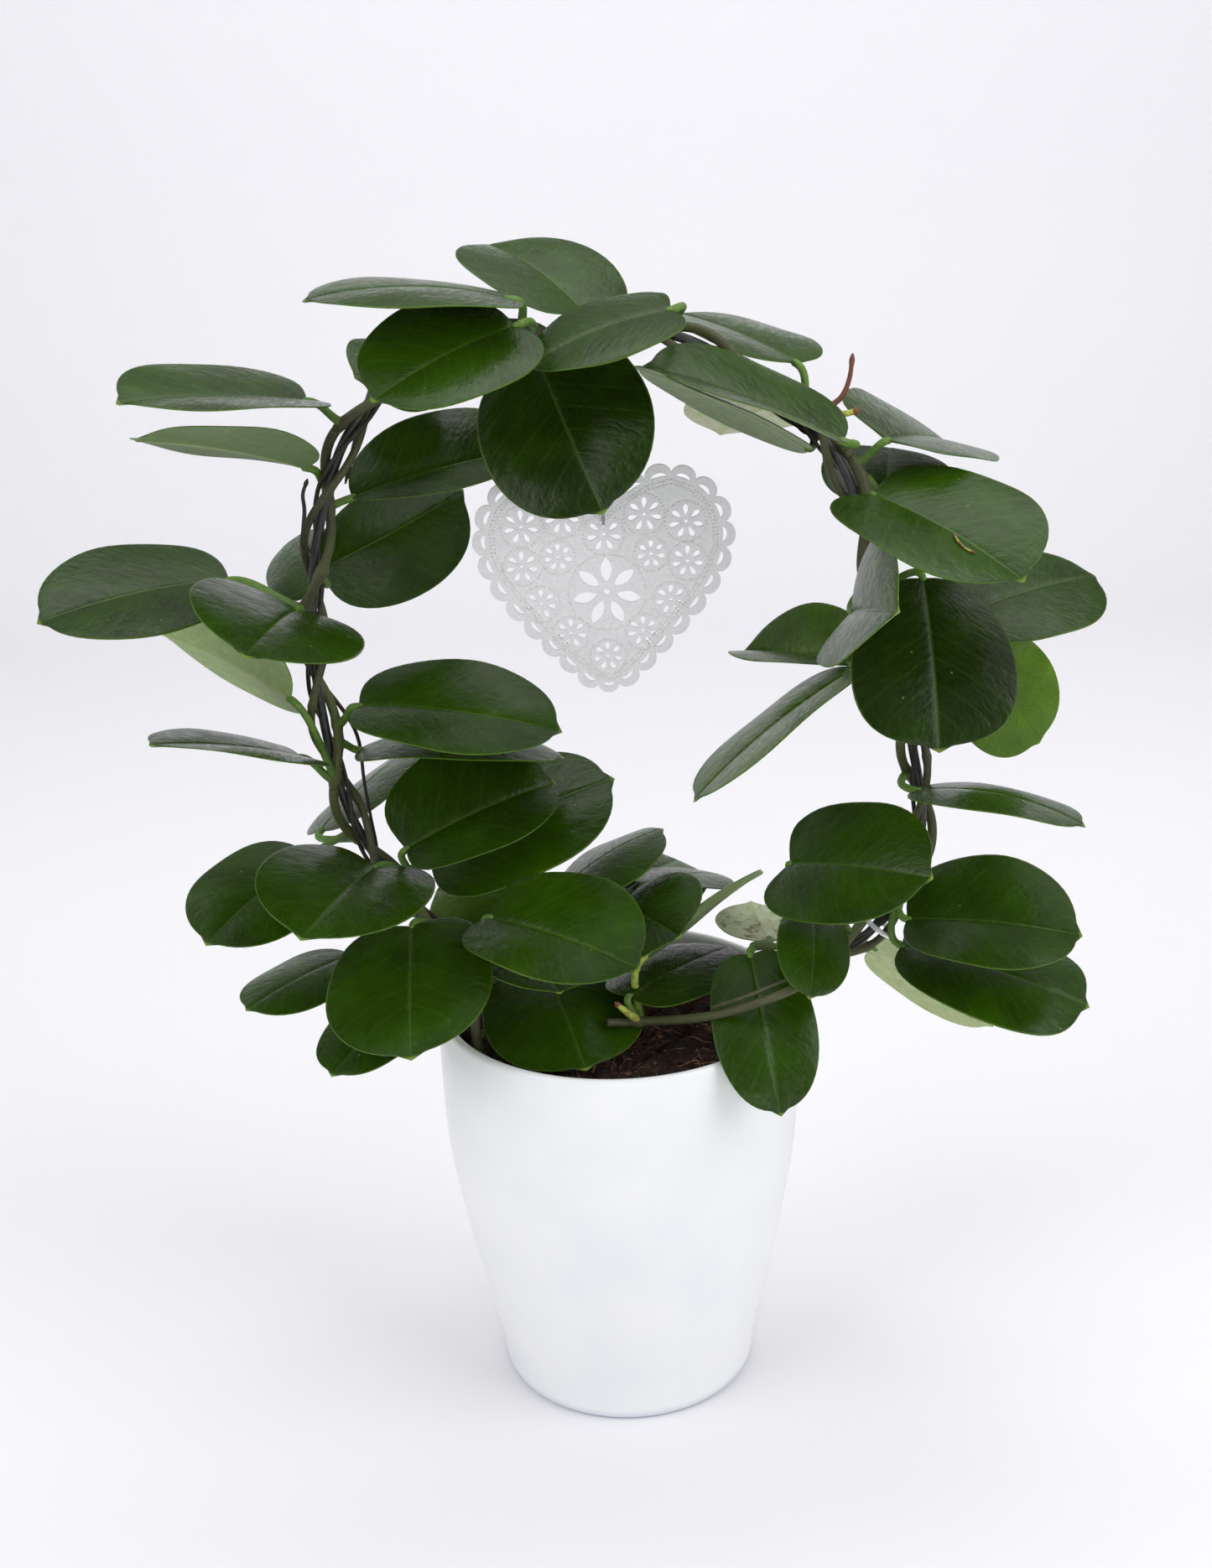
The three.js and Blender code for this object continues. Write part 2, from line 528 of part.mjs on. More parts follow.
// hanger: hooked over the hoop and its stems, and through the slit at the heart's cleft
function heartHanger() {
  const [x, y, z] = heartPlace;
  const over = twineRadius + leafyStemRadius + hangerRadius + 0.4;
  const crown = hoopCurve.getPointAt(0.494);
  const hook = Array.from({ length: 7 }, (_, i) => {
    const turn = (-0.15 + (1.15 * i) / 6) * Math.PI;
    return vec([x, -over * Math.cos(turn), crown.z + over * Math.sin(turn)]);
  });
  const slit = z + heartFlowers[0][1] + heartFlowers[0][2] - 2.4;
  const eye = [[x, y + 4, slit + 5], [x, y + 3, slit + 1], [x, y, slit], [x, y - 3, slit + 1], [x, y - 3.4, slit + 4]];
  return tube(smooth([...hook, ...eye.map(vec)]), hangerRadius, 5, 6);
}

// tie: a clear ring round the wire and the stems
function tie(at) {
  const centre = hoopCurve.getPointAt(at);
  const along = hoopCurve.getTangentAt(at);
  const radius = twineRadius + leafyStemRadius + 1.1;
  const ring = new THREE.TorusGeometry(radius, 0.7, 5, 14);
  const turn = new THREE.Quaternion().setFromUnitVectors(new THREE.Vector3(0, 0, 1), along);
  ring.applyQuaternion(turn).translate(centre.x, centre.y, centre.z);
  return solid(ring);
}

const model = new THREE.Group();

function addPiece(name, body, look) {
  const mesh = new THREE.Mesh(geometryOf(body), look);
  mesh.name = name;
  model.add(mesh);
}

addPiece('pot', pot(), potWhite);
addPiece('potting_mix', pottingMix(), mixBrown);
addPiece('hoop', hoop(), wireBlack);
addPiece('twining_stem_left', bareStem(0.02, 0.48), stemBrown);
addPiece('twining_stem_right', bareStem(0.505, 0.975), stemBrown);
for (const [name, stem] of Object.entries(leafyStems)) addPiece(name, leafyStem(stem), leafGreen);
addPiece('heart', heart(), heartWhite);
addPiece('heart_hanger', heartHanger(), wireBlack);
addPiece('tie_left', tie(0.085), tieClear);
addPiece('tie_right', tie(0.868), tieClear);

export default model;
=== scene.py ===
import math
import random

import bpy
import numpy as np
from mathutils import Matrix, Vector, noise


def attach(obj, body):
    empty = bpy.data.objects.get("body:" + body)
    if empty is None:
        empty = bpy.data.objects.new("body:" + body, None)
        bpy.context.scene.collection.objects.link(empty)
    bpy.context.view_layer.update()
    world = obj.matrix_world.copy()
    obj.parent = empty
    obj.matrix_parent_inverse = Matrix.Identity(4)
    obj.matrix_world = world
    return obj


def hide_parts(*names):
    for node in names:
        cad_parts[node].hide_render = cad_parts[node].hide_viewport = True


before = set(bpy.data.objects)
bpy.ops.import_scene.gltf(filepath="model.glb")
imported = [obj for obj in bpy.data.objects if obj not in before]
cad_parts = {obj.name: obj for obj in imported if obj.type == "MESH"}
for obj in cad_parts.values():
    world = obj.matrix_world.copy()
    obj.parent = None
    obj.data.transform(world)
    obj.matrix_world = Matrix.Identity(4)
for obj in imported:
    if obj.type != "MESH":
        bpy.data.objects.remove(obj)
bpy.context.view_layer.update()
print("frame loaded")

mm = 0.001


def newObject(name, data):
    made = bpy.data.objects.new(name, data)
    bpy.context.collection.objects.link(made)
    return made


# camera: a little above the hoop, looking down at the plant, tipped two degrees
viewpoint = {"lens": 42.35, "sensor": 36, "clip": 20, "place": (-1.4, -633.3, 462.1), "tilt": 70.7, "roll": -2.11}
cameraData = bpy.data.cameras.new("plantCamera")
cameraData.lens = viewpoint["lens"]
cameraData.sensor_width = viewpoint["sensor"]
cameraData.clip_end = viewpoint["clip"]
cameraObject = newObject("plantCamera", cameraData)
cameraObject.matrix_world = (
    Matrix.Translation(Vector(viewpoint["place"]) * mm)
    @ Matrix.Rotation(math.radians(viewpoint["tilt"]), 4, "X")
    @ Matrix.Rotation(math.radians(viewpoint["roll"]), 4, "Z")
)
bpy.context.scene.camera = cameraObject
bpy.context.scene.view_settings.view_transform = "Standard"  # keeps the high-key whites of a product picture
print("camera placed")


# ---- colours and nodes
def hexColour(text):  # sRGB hex to linear rgba
    parts = [int(text[i:i + 2], 16) / 255 for i in (1, 3, 5)]
    linear = [p / 12.92 if p <= 0.04045 else ((p + 0.055) / 1.055) ** 2.4 for p in parts]
    return (*linear, 1.0)


def addNode(tree, kind, values=None, links=None, **settings):  # kind is the node's type without "ShaderNode"
    node = tree.nodes.new("ShaderNode" + kind)
    for name, value in settings.items():
        setattr(node, name, value)
    for name, value in (values or {}).items():
        node.inputs[name].default_value = value
    for name, (source, output) in (links or {}).items():
        tree.links.new(source.outputs[output], node.inputs[name])
    return node


def newMaterial(name, **skin):  # skin sets the shader's own sockets
    made = bpy.data.materials.new(name)
    made.use_nodes = True
    shader = made.node_tree.nodes["Principled BSDF"]
    for socket, value in skin.items():
        shader.inputs[socket.replace("_", " ")].default_value = value
    return made, made.node_tree, shader


def setRamp(node, stops):  # stops are (position, hex colour or grey value)
    ramp = node.color_ramp
    while len(ramp.elements) > 1:
        ramp.elements.remove(ramp.elements[-1])
    for i, (place, colour) in enumerate(stops):
        stop = ramp.elements[0] if i == 0 else ramp.elements.new(place)
        stop.position = place
        stop.color = hexColour(colour) if isinstance(colour, str) else (colour, colour, colour, 1)
    return node


def finishSkin(tree, shader, colour, height=None, strength=0.0, distance=0.0):  # colour, height: (node, output)
    tree.links.new(colour[0].outputs[colour[1]], shader.inputs["Base Color"])
    if height:
        bump = addNode(tree, "Bump", {"Strength": strength, "Distance": distance}, {"Height": height})
        tree.links.new(bump.outputs[0], shader.inputs["Normal"])


def tintWhere(tree, skin, source, span, colour):  # span: the source's two ends, then the tint's strength at each
    amount = addNode(tree, "MapRange", dict(zip((1, 2, 3, 4), span)), {0: source})
    return addNode(tree, "Mix", {7: hexColour(colour)}, {0: (amount, 0), 6: skin}, data_type="RGBA"), 2


# a skin of one grain, which picks its colour from the stops and raises the bump;
# with a swing, the grain shifts the piece's own tone up and down by that much
def grainySkin(name, grain, stops, bump=(), swing=None, **skin):
    made, tree, shader = newMaterial(name, **skin)
    place = addNode(tree, "TexCoord")
    grain = addNode(tree, "TexNoise", grain, {"Vector": (place, "Object")})
    picked = (grain, "Fac")
    if swing:
        tone = addNode(tree, "Attribute", attribute_name="tone")
        low, high, reach = swing
        shade = addNode(tree, "MapRange", {1: low, 2: high, 3: -reach, 4: reach}, {0: (grain, "Fac")})
        picked = (addNode(tree, "Math", None, {0: (tone, "Fac"), 1: (shade, 0)}, operation="ADD", use_clamp=True), 0)
    body = setRamp(addNode(tree, "ValToRGB", None, {"Fac": picked}), stops)
    finishSkin(tree, shader, (body, "Color"), bump and (grain, "Fac"), *bump)
    return made


# waxy leaf, upper face: thick smooth cuticle over deep green gives a broken gloss,
# with fine creases, a paler midrib, margin and tip, and a few specks of dust
def waxyLeafUpper():
    made, tree, shader = newMaterial("waxyLeafUpper", Roughness=0.3, IOR=1.4, Specular_IOR_Level=0.36)
    tone, across, along = (addNode(tree, "Attribute", attribute_name=name) for name in ("tone", "across", "along"))
    place = addNode(tree, "TexCoord")
    # patches about 18 mm
    cloud = addNode(tree, "TexNoise", {"Scale": 55.0, "Detail": 3.0, "Roughness": 0.55}, {"Vector": (place, "Object")})
    # mottle about 2.4 mm
    grain = addNode(tree, "TexNoise", {"Scale": 420.0, "Detail": 4.0, "Roughness": 0.6}, {"Vector": (place, "Object")})
    # creases and side veins slant from the midrib towards the tip; one unit of swept is the leaf's length
    swept = addNode(tree, "Math", {1: -0.3}, {0: (across, "Fac"), 2: (along, "Fac")}, operation="MULTIPLY_ADD")
    streaks = addNode(tree, "CombineXYZ", None, {0: (swept, 0), 1: (across, "Fac"), 2: (tone, "Fac")})
    # a crease about every 2.5 mm, each about 5 mm long, and other ones on each leaf
    spread = addNode(tree, "VectorMath", {1: (26.0, 6.0, 90.0)}, {0: (streaks, 0)}, operation="MULTIPLY")
    creases = addNode(tree, "TexNoise", {"Scale": 1.0, "Detail": 3.0, "Roughness": 0.6}, {"Vector": (spread, 0)})
    fine = addNode(tree, "Math", {1: 0.05, 2: -0.195}, {0: (creases, "Fac")}, operation="MULTIPLY_ADD")
    shade = addNode(tree, "Math", {1: 0.34}, {0: (cloud, "Fac"), 2: (fine, 0)}, operation="MULTIPLY_ADD")
    mixed = addNode(tree, "Math", None, {0: (tone, "Fac"), 1: (shade, 0)}, operation="ADD", use_clamp=True)
    body = setRamp(addNode(tree, "ValToRGB", None, {"Fac": (mixed, 0)}), [
        (0.0, "#0b1600"), (0.2, "#182c00"), (0.4, "#2b4900"), (0.6, "#4a6c02"), (0.8, "#7c9616"), (1.0, "#b2c248"),
    ])
    counted = addNode(tree, "Math", {1: 42.0}, {0: (swept, 0)}, operation="MULTIPLY")
    wave = addNode(tree, "Math", None, {0: (counted, 0)}, operation="SINE")
    veined = tintWhere(tree, (body, "Color"), (wave, 0), (0.9, 1.0, 0.0, 0.07), "#557a2a")
    ribbed = tintWhere(tree, veined, (across, "Fac"), (0.008, 0.026, 0.3, 0.0), "#56762a")
    edged = tintWhere(tree, ribbed, (across, "Fac"), (0.975, 1.0, 0.0, 0.36), "#6d9430")
    tipped = tintWhere(tree, edged, (along, "Fac"), (0.975, 1.0, 0.0, 0.9), "#93ad3e")
    # one cell is 4 mm, and few cells hold a speck
    dust = addNode(tree, "TexVoronoi", {"Scale": 230.0}, {"Vector": (place, "Object")})
    near = addNode(tree, "MapRange", {1: 0.06, 2: 0.11, 3: 0.5, 4: 0.0}, {0: (dust, "Distance")})
    chosen = addNode(tree, "SeparateColor", None, {0: (dust, "Color")})
    rare = addNode(tree, "Math", {1: 0.94}, {0: (chosen, 0)}, operation="GREATER_THAN")
    speck = addNode(tree, "Math", None, {0: (near, 0), 1: (rare, 0)}, operation="MULTIPLY")
    dusty = addNode(tree, "Mix", {7: hexColour("#9a9a6c")}, {0: (speck, 0), 6: tipped}, data_type="RGBA")
    finishSkin(tree, shader, (dusty, 2))
    # the gloss breaks up along the creases
    matt = addNode(tree, "MapRange", {1: 0.3, 2: 0.7, 3: 0.19, 4: 0.36}, {0: (creases, "Fac")})
    tree.links.new(matt.outputs[0], shader.inputs["Roughness"])
    leather = addNode(tree, "Bump", {"Strength": 0.2, "Distance": 0.0004}, {"Height": (grain, "Fac")})
    steps = {"Height": (creases, "Fac"), "Normal": (leather, 0)}
    creased = addNode(tree, "Bump", {"Strength": 0.5, "Distance": 0.0005}, steps)
    steps = {"Height": (cloud, "Fac"), "Normal": (creased, 0)}
    dimpled = addNode(tree, "Bump", {"Strength": 0.4, "Distance": 0.002}, steps)
    tree.links.new(dimpled.outputs[0], shader.inputs["Normal"])
    return made


# leaf, underside: matt, pale grey green, with a paler midrib, and brown scars where the leaf is mottled
def mattLeafUnder():
    made, tree, shader = newMaterial("mattLeafUnder", Roughness=0.6, IOR=1.4)
    tone, mottle, across = (addNode(tree, "Attribute", attribute_name=name) for name in ("tone", "mottle", "across"))
    place = addNode(tree, "TexCoord")
    # mottle about 3 mm
    grain = addNode(tree, "TexNoise", {"Scale": 300.0, "Detail": 4.0}, {"Vector": (place, "Object")})
    shade = addNode(tree, "MapRange", {1: 0.3, 2: 0.7, 3: -0.08, 4: 0.08}, {0: (grain, "Fac")})
    mixed = addNode(tree, "Math", None, {0: (tone, "Fac"), 1: (shade, 0)}, operation="ADD", use_clamp=True)
    body = setRamp(addNode(tree, "ValToRGB", None, {"Fac": (mixed, 0)}), [
        (0.0, "#5a7048"), (0.3, "#70865a"), (0.6, "#90a66c"), (0.8, "#b9c48f"), (1.0, "#dfe2cf"),
    ])
    ribbed = tintWhere(tree, (body, "Color"), (across, "Fac"), (0.015, 0.05, 0.5, 0.0), "#b4c48e")
    # scars about 5 mm
    blots = addNode(tree, "TexNoise", {"Scale": 210.0, "Detail": 5.0, "Roughness": 0.7}, {"Vector": (place, "Object")})
    scar = addNode(tree, "MapRange", {1: 0.54, 2: 0.62, 3: 0.0, 4: 0.85}, {0: (blots, "Fac")})
    scarred = addNode(tree, "Math", None, {0: (scar, 0), 1: (mottle, "Fac")}, operation="MULTIPLY")
    final = addNode(tree, "Mix", {7: hexColour("#7d5a3a")}, {0: (scarred, 0), 6: ribbed}, data_type="RGBA")
    finishSkin(tree, shader, (final, 2), (grain, "Fac"), 0.3, 0.0004)
    return made


# moulded plastic with a satin glaze: white, very smooth, soft highlights, and a painted blue-grey shade round the foot
# where it meets the floor
def satinWhitePot():
    made, tree, shader = newMaterial("satinWhitePot", Roughness=0.32, Coat_Weight=0.15, Coat_Roughness=0.15)
    place = addNode(tree, "TexCoord")
    split = addNode(tree, "SeparateXYZ", None, {0: (place, "Object")})
    # tint drifts over 30 mm
    cloud = addNode(tree, "TexNoise", {"Scale": 30.0, "Detail": 2.0}, {"Vector": (place, "Object")})
    body = setRamp(addNode(tree, "ValToRGB", None, {"Fac": (cloud, "Fac")}), [(0.3, "#eceef1"), (0.7, "#f2f3f4")])
    # painted shade: blue grey round the foot, strongest at the floor and gone by 4.5 mm up
    paintedFootShade = tintWhere(tree, (body, "Color"), (split, "Z"), (0.0008, 0.0045, 0.55, 0.0), "#b4bfd0")
    finishSkin(tree, shader, paintedFootShade, (cloud, "Fac"), 0.04, 0.001)
    return made


leafUpper = waxyLeafUpper()
leafUnder = mattLeafUnder()
potWhite = satinWhitePot()

# stem skin: dark brown to olive bark on old wood, fresh green on leaf stalks,
# yellow green and red brown on young shoots, in flecks about 1.5 mm long
stemBark = [
    (0.0, "#1a1511"), (0.14, "#2c281b"), (0.28, "#45452a"), (0.45, "#4d5827"),
    (0.65, "#4f7226"), (0.78, "#6b8e33"), (0.88, "#b4c24e"), (1.0, "#744630"),
]
flecks = {"Scale": 650.0, "Detail": 4.0, "Roughness": 0.65}
bark = grainySkin("stemBark", flecks, stemBark, (0.5, 0.0004), (0.25, 0.75, 0.1), Roughness=0.6)

# plastic coating on wire: extruded, dark grey green, scuffed about every 2.5 mm
coatColours = [(0.3, "#1e1f1d"), (0.6, "#30322e"), (0.8, "#4a4a44")]
scuffs = {"Scale": 400.0, "Detail": 3.0}
wireCoat = grainySkin("extrudedWireCoat", scuffs, coatColours, (0.2, 0.0003), Roughness=0.42)

# coir: milled coconut husk, dry brown crumbs about 3 mm and fibres over nearly black damp peat
coirColours = [(0.0, "#120b08"), (0.35, "#2c1c15"), (0.6, "#513426"), (0.8, "#7a5340"), (1.0, "#a87e5f")]
crumbs = {"Scale": 330.0, "Detail": 6.0, "Roughness": 0.7}
coir = grainySkin("milledCoir", crumbs, coirColours, (0.8, 0.0012), (0.3, 0.7, 0.25), Roughness=0.9)

# powder-coated steel sheet: off-white, half matt, with the faint orange peel of sprayed powder, about 1 mm;
# the raised beads are coloured brighter than the sheet, a painted highlight where they catch the light
orangePeel = {"Scale": 900.0, "Detail": 3.0}
sheetColours, beadHighlightColours = [(0.3, "#dddddf"), (0.7, "#e7e7e9")], [(0.3, "#f1f1ef"), (0.7, "#f8f8f6")]
heartPaint = grainySkin("powderCoatWhite", orangePeel, sheetColours, (0.15, 0.0002), Roughness=0.42)
beadHighlightPaint = grainySkin("powderCoatBeadHighlight", orangePeel, beadHighlightColours, (0.15, 0.0002), Roughness=0.42)

# drawn steel wire: grey, brushed by the die in marks about 1 mm
dieMarks = {"Scale": 1000.0, "Detail": 2.0}
steelWire = grainySkin("drawnSteel", dieMarks, [(0.3, "#8a8a88"), (0.7, "#b5b5b2")], Metallic=1.0, Roughness=0.35)

# polythene tie: moulded, milky and half clear, hazy in patches about 4 mm
haze, milk = {"Scale": 250.0}, [(0.3, "#d3d9d6"), (0.7, "#eef0ee")]
tiePlastic = grainySkin("milkyPolythene", haze, milk, Roughness=0.3, IOR=1.5, Transmission_Weight=0.55)
print("materials made")


# ---- meshes
layers = ("tone", "across", "along", "mottle")  # what the materials read at each point


def newShell():
    return {name: [] for name in ("points", "faces", "slots", *layers)}


def addPoints(shell, points, **values):  # returns the first new index
    first = len(shell["points"])
    shell["points"].extend([tuple(p) for p in points])
    for name in layers:
        value = values.get(name, 0.0)
        shell[name].extend(list(value) if isinstance(value, np.ndarray) else [value] * len(points))
    return first


def addFaces(shell, faces, slot=0):
    shell["faces"].extend(faces)
    shell["slots"].extend([slot] * len(faces))


def placePiece(pieceName, shell, materials, node):
    mesh = bpy.data.meshes.new(pieceName)
    mesh.from_pydata([(x * mm, y * mm, z * mm) for x, y, z in shell["points"]], [], shell["faces"])
    for made in materials:
        mesh.materials.append(made)
    mesh.polygons.foreach_set("material_index", shell["slots"])
    mesh.polygons.foreach_set("use_smooth", [True] * len(shell["faces"]))
    for name in layers:
        mesh.attributes.new(name, "FLOAT", "POINT").data.foreach_set("value", shell[name])
    mesh.update()
    piece = newObject(pieceName, mesh)
    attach(piece, "root")
    if node:
        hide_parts(node)


def smoothLine(points, perSpan=24):  # uniform Catmull-Rom, its ends run on straight
    p = [np.array(q, float) for q in points]
    p = [2 * p[0] - p[1]] + p + [2 * p[-1] - p[-2]]
    line = []
    for i in range(1, len(p) - 2):
        t = np.linspace(0, 1, perSpan, endpoint=False)[:, None]
        a, b, c, d = p[i - 1], p[i], p[i + 1], p[i + 2]
        bent = (2 * a - 5 * b + 4 * c - d) * t ** 2 + (3 * b - a - 3 * c + d) * t ** 3
        line.append(0.5 * (2 * b + (c - a) * t + bent))
    return np.vstack(line + [p[-2][None]])


def measured(line):  # the line with its running length
    return line, np.concatenate([[0], np.cumsum(np.linalg.norm(np.diff(line, axis=0), axis=1))])


def placeAt(curve, at):  # at is a fraction of the length, a number or an array
    line, run = curve
    return np.stack([np.interp(np.asarray(at) * run[-1], run, line[:, k]) for k in range(3)], -1)


def unit(v):
    return v / np.linalg.norm(v)


def circleTurns(count):  # the angles of evenly spaced points round a circle
    return np.linspace(0, 2 * math.pi, count, endpoint=False)


def circlePoints(radius, count):
    return [(radius * math.cos(a), radius * math.sin(a)) for a in circleTurns(count)]


def band(a, b, count):  # faces between two rings of points
    return [(a + k, a + (k + 1) % count, b + (k + 1) % count, b + k) for k in range(count)]


def fan(tip, ring, count):  # faces from one point to a ring of points
    return [(tip, ring + k, ring + (k + 1) % count) for k in range(count)]


def turned(faces):  # the same faces, looking the other way
    return [face[:1] + face[:0:-1] for face in faces]


def capRings(ring, reach):  # two smaller rings that round off the end of a tube
    centre, along, side, up, r, t = ring
    return [(centre + along * r * reach * k, along, side, up, r * math.sqrt(1 - k * k), t) for k in (0.35, 0.75)]


def addTube(shell, line, radius, sides, slot, tone, ends=(0.0, 0.0)):  # ends: how far each end is rounded, in radii
    count = len(line)
    radii = np.broadcast_to(np.asarray(radius, float), (count,))
    tones = np.broadcast_to(np.asarray(tone, float), (count,))
    ahead = np.gradient(line, axis=0)
    side = np.array((0.31, 0.9, 0.3))
    rings = []
    for i in range(count):
        along = unit(ahead[i])
        side = unit(side - along * (side @ along))
        up = np.cross(along, side)
        rings.append((line[i], along, side, up, radii[i], tones[i]))
    first, last = rings[0], rings[-1]
    if ends[0]:
        rings[:0] = capRings(first, -ends[0])[::-1]
    if ends[1]:
        rings += capRings(last, ends[1])
    starts = []
    for centre, along, side, up, r, t in rings:
        ring = [centre + side * x + up * y for x, y in circlePoints(r, sides)]
        starts.append(addPoints(shell, ring, tone=t))
    for a, b in zip(starts, starts[1:]):
        addFaces(shell, band(a, b, sides), slot)
    noseA = addPoints(shell, [first[0] - first[1] * first[4] * ends[0]], tone=first[5])
    noseB = addPoints(shell, [last[0] + last[1] * last[4] * ends[1]], tone=last[5])
    addFaces(shell, turned(fan(noseA, starts[0], sides)) + fan(noseB, starts[-1], sides), slot)


def addLathe(shell, profile, segments):  # profile runs from axis to axis
    starts = []
    for r, z in profile:
        ring = [(x, y, z) for x, y in circlePoints(r, segments)] if r > 0 else [(0, 0, z)]
        starts.append((addPoints(shell, ring), len(ring)))
    for (a, here), (b, there) in zip(starts, starts[1:]):
        for k in range(segments):
            j = (k + 1) % segments
            # a point on the axis serves every corner
            low, high = ((k, j) if size > 1 else (0, 0) for size in (here, there))
            corners = [a + low[0], a + low[1], b + high[1], b + high[0]]
            addFaces(shell, [tuple(dict.fromkeys(corners))])


# ---- pot
pot = {
    "side": [(47.5, 0), (49.3, 2), (51, 15), (54.3, 30), (60.5, 60), (66.8, 100), (68, 140), (67.2, 153)],
    "lip": [
        (67.2, 152.6), (66.95, 153.8), (66.4, 154.6), (65.7, 154.95),
        (65, 154.9), (64.3, 154.4), (63.75, 153.3), (63.45, 151.5),
    ],
    "wall": 4,
    "floor": 5,
    "segments": 160,
}


def potRadius(z):
    radii, heights = zip(*pot["side"])
    return float(np.interp(z, heights, radii))


def makePot():
    outer = smoothLine([(r, 0, z) for r, z in pot["side"][1:]], 8)
    outside = [(0, 0), (46.6, 0), (47.9, 0.3), (48.8, 1.1)] + [(p[0], p[2]) for p in outer[:-1]]
    inside = [(potRadius(z) - pot["wall"], z) for z in (148, 144, 136, 120, 100, 80, 60, 30, 15, pot["floor"])]
    shell = newShell()
    addLathe(shell, outside + pot["lip"] + inside + [(0, pot["floor"])], pot["segments"])
    placePiece("potShell", shell, [potWhite], "pot")


makePot()
print("pot made")

# ---- potting mix: crumbly mound, husk fibres and chips
mix = {
    "reach": (0, 9, 22, 38, 52, 63.2),  # distance from the middle, and the mound's level there
    "level": (145, 146, 145, 144, 145, 137),
    "radius": 63.1,
    "crumb": 2.2,
    "clear": 4.5,
    "base": 5.4,
    "rings": 60,
    "segments": 150,
    "fibres": 620,
    "fibreSpread": 61,
    "fibreStep": 1.9,
    "fibreEdge": 62.3,
    "chips": 240,
    "chipSpread": 60,
    "seed": 7,
}


def mixHeight(x, y):
    level = float(np.interp(math.hypot(x, y), mix["reach"], mix["level"]))
    wide = math.sin(0.31 * x + 1.3) * math.cos(0.27 * y) + 0.5 * math.sin(0.5 * x - 0.4 * y)
    crumbs = noise.fractal(Vector((x * 0.22, y * 0.22, 1.7)), 0.7, 2.2, 4)
    lumps = noise.noise(Vector((x * 0.55, y * 0.55, 4.1)))
    return level + mix["crumb"] * 0.8 * wide + 1.5 * crumbs + 0.9 * abs(lumps)


def makeMix():
    rand = random.Random(mix["seed"])
    shell = newShell()
    rings, segments, base = mix["rings"], mix["segments"], mix["base"]
    starts = [addPoints(shell, [(0, 0, mixHeight(0, 0))], tone=0.4)]
    for i in range(1, rings + 1):
        r = mix["radius"] * i / rings
        ring = circlePoints(r, segments)
        points = [(x, y, mixHeight(x, y)) for x, y in ring]
        tones = np.array([0.36 + 0.3 * noise.noise(Vector((x * 0.12, y * 0.12, 9))) for x, y in ring])
        starts.append(addPoints(shell, points, tone=tones))
    for z in (100, 60, 15, base):
        ring = circlePoints(potRadius(z) - mix["clear"], segments)
        starts.append(addPoints(shell, [(x, y, z) for x, y in ring], tone=0.3))
    addFaces(shell, fan(starts[0], starts[1], segments))
    for a, b in zip(starts[1:], starts[2:]):
        addFaces(shell, turned(band(a, b, segments)))
    middle = addPoints(shell, [(0, 0, base)], tone=0.3)
    addFaces(shell, turned(fan(middle, starts[-1], segments)))
    placePiece("pottingMix", shell, [coir], "potting_mix")

    loose = newShell()
    for _ in range(mix["fibres"]):  # short bent fibres that lift off the mound in the middle
        r, a = mix["fibreSpread"] * math.sqrt(rand.random()), rand.uniform(0, 2 * math.pi)
        heading, bend = rand.uniform(0, 2 * math.pi), rand.uniform(-0.35, 0.35)
        x, y, line = r * math.cos(a), r * math.sin(a), []
        lift = rand.uniform(0.1, 0.9)
        steps = rand.randint(4, 8)
        for k in range(steps + 1):
            arc = math.sin(math.pi * k / steps)
            line.append((x, y, mixHeight(x, y) - 0.25 + lift * arc * rand.uniform(0.6, 1.6)))
            heading += bend
            x, y = x + mix["fibreStep"] * math.cos(heading), y + mix["fibreStep"] * math.sin(heading)
            if math.hypot(x, y) > mix["fibreEdge"]:
                break
        if len(line) > 2:
            addTube(loose, np.array(line), rand.uniform(0.12, 0.3), 4, 0, rand.uniform(0.35, 1.0))
    for _ in range(mix["chips"]):  # stubby bits of husk
        r, a = mix["chipSpread"] * math.sqrt(rand.random()), rand.uniform(0, 2 * math.pi)
        x, y = r * math.cos(a), r * math.sin(a)
        z = mixHeight(x, y)
        size, heading = rand.uniform(0.7, 2.3), rand.uniform(0, 2 * math.pi)
        tip = (x + size * math.cos(heading), y + size * math.sin(heading), z + rand.uniform(-0.3, 0.9))
        middle = ((x + tip[0]) / 2, (y + tip[1]) / 2, (z + tip[2]) / 2 + 0.3)
        fat = rand.uniform(0.35, 0.8)
        shape = np.array([0.6, 1.0, 0.5]) * fat
        addTube(loose, np.array([(x, y, z), middle, tip]), shape, 5, 0, rand.uniform(0.2, 0.85))
    placePiece("huskFibres", loose, [coir], None)


makeMix()
print("potting mix made")

# ---- hoop
hoop = {
    "radius": 1.7,
    "route": [
        (-32, 112), (-37, 135), (-44, 158), (-56, 177), (-73, 192), (-89, 219), (-97, 239), (-101, 262),
        (-103, 290), (-101, 320), (-95, 346), (-84, 371), (-64, 391), (-32, 400), (0, 401), (26, 399),
        (48, 388), (71, 370), (86, 348), (94, 322), (101, 290), (110, 250), (114, 222), (109, 200),
        (98, 181), (84, 169), (68, 164), (57, 158), (46, 146), (40, 130), (37, 112),
    ],
}
hoopCurve = measured(smoothLine([(x, 0, z) for x, z in hoop["route"]], 40))
hoopLength = hoopCurve[1][-1]


def makeHoop():
    shell = newShell()
    line = placeAt(hoopCurve, np.linspace(0, 1, 420))
    addTube(shell, line, hoop["radius"], 16, 0, 0.0, (0.6, 0.6))
    placePiece("hoopWire", shell, [wireCoat], "hoop")


makeHoop()

# ---- twining stems
twining = {"reach": 4.5, "turns": 11, "leafy": 1.9, "bare": 1.5, "gap": 0.4, "step": 1.6, "seed": 7}
noise.seed_set(twining["seed"])  # else the clock seeds how the stems wander


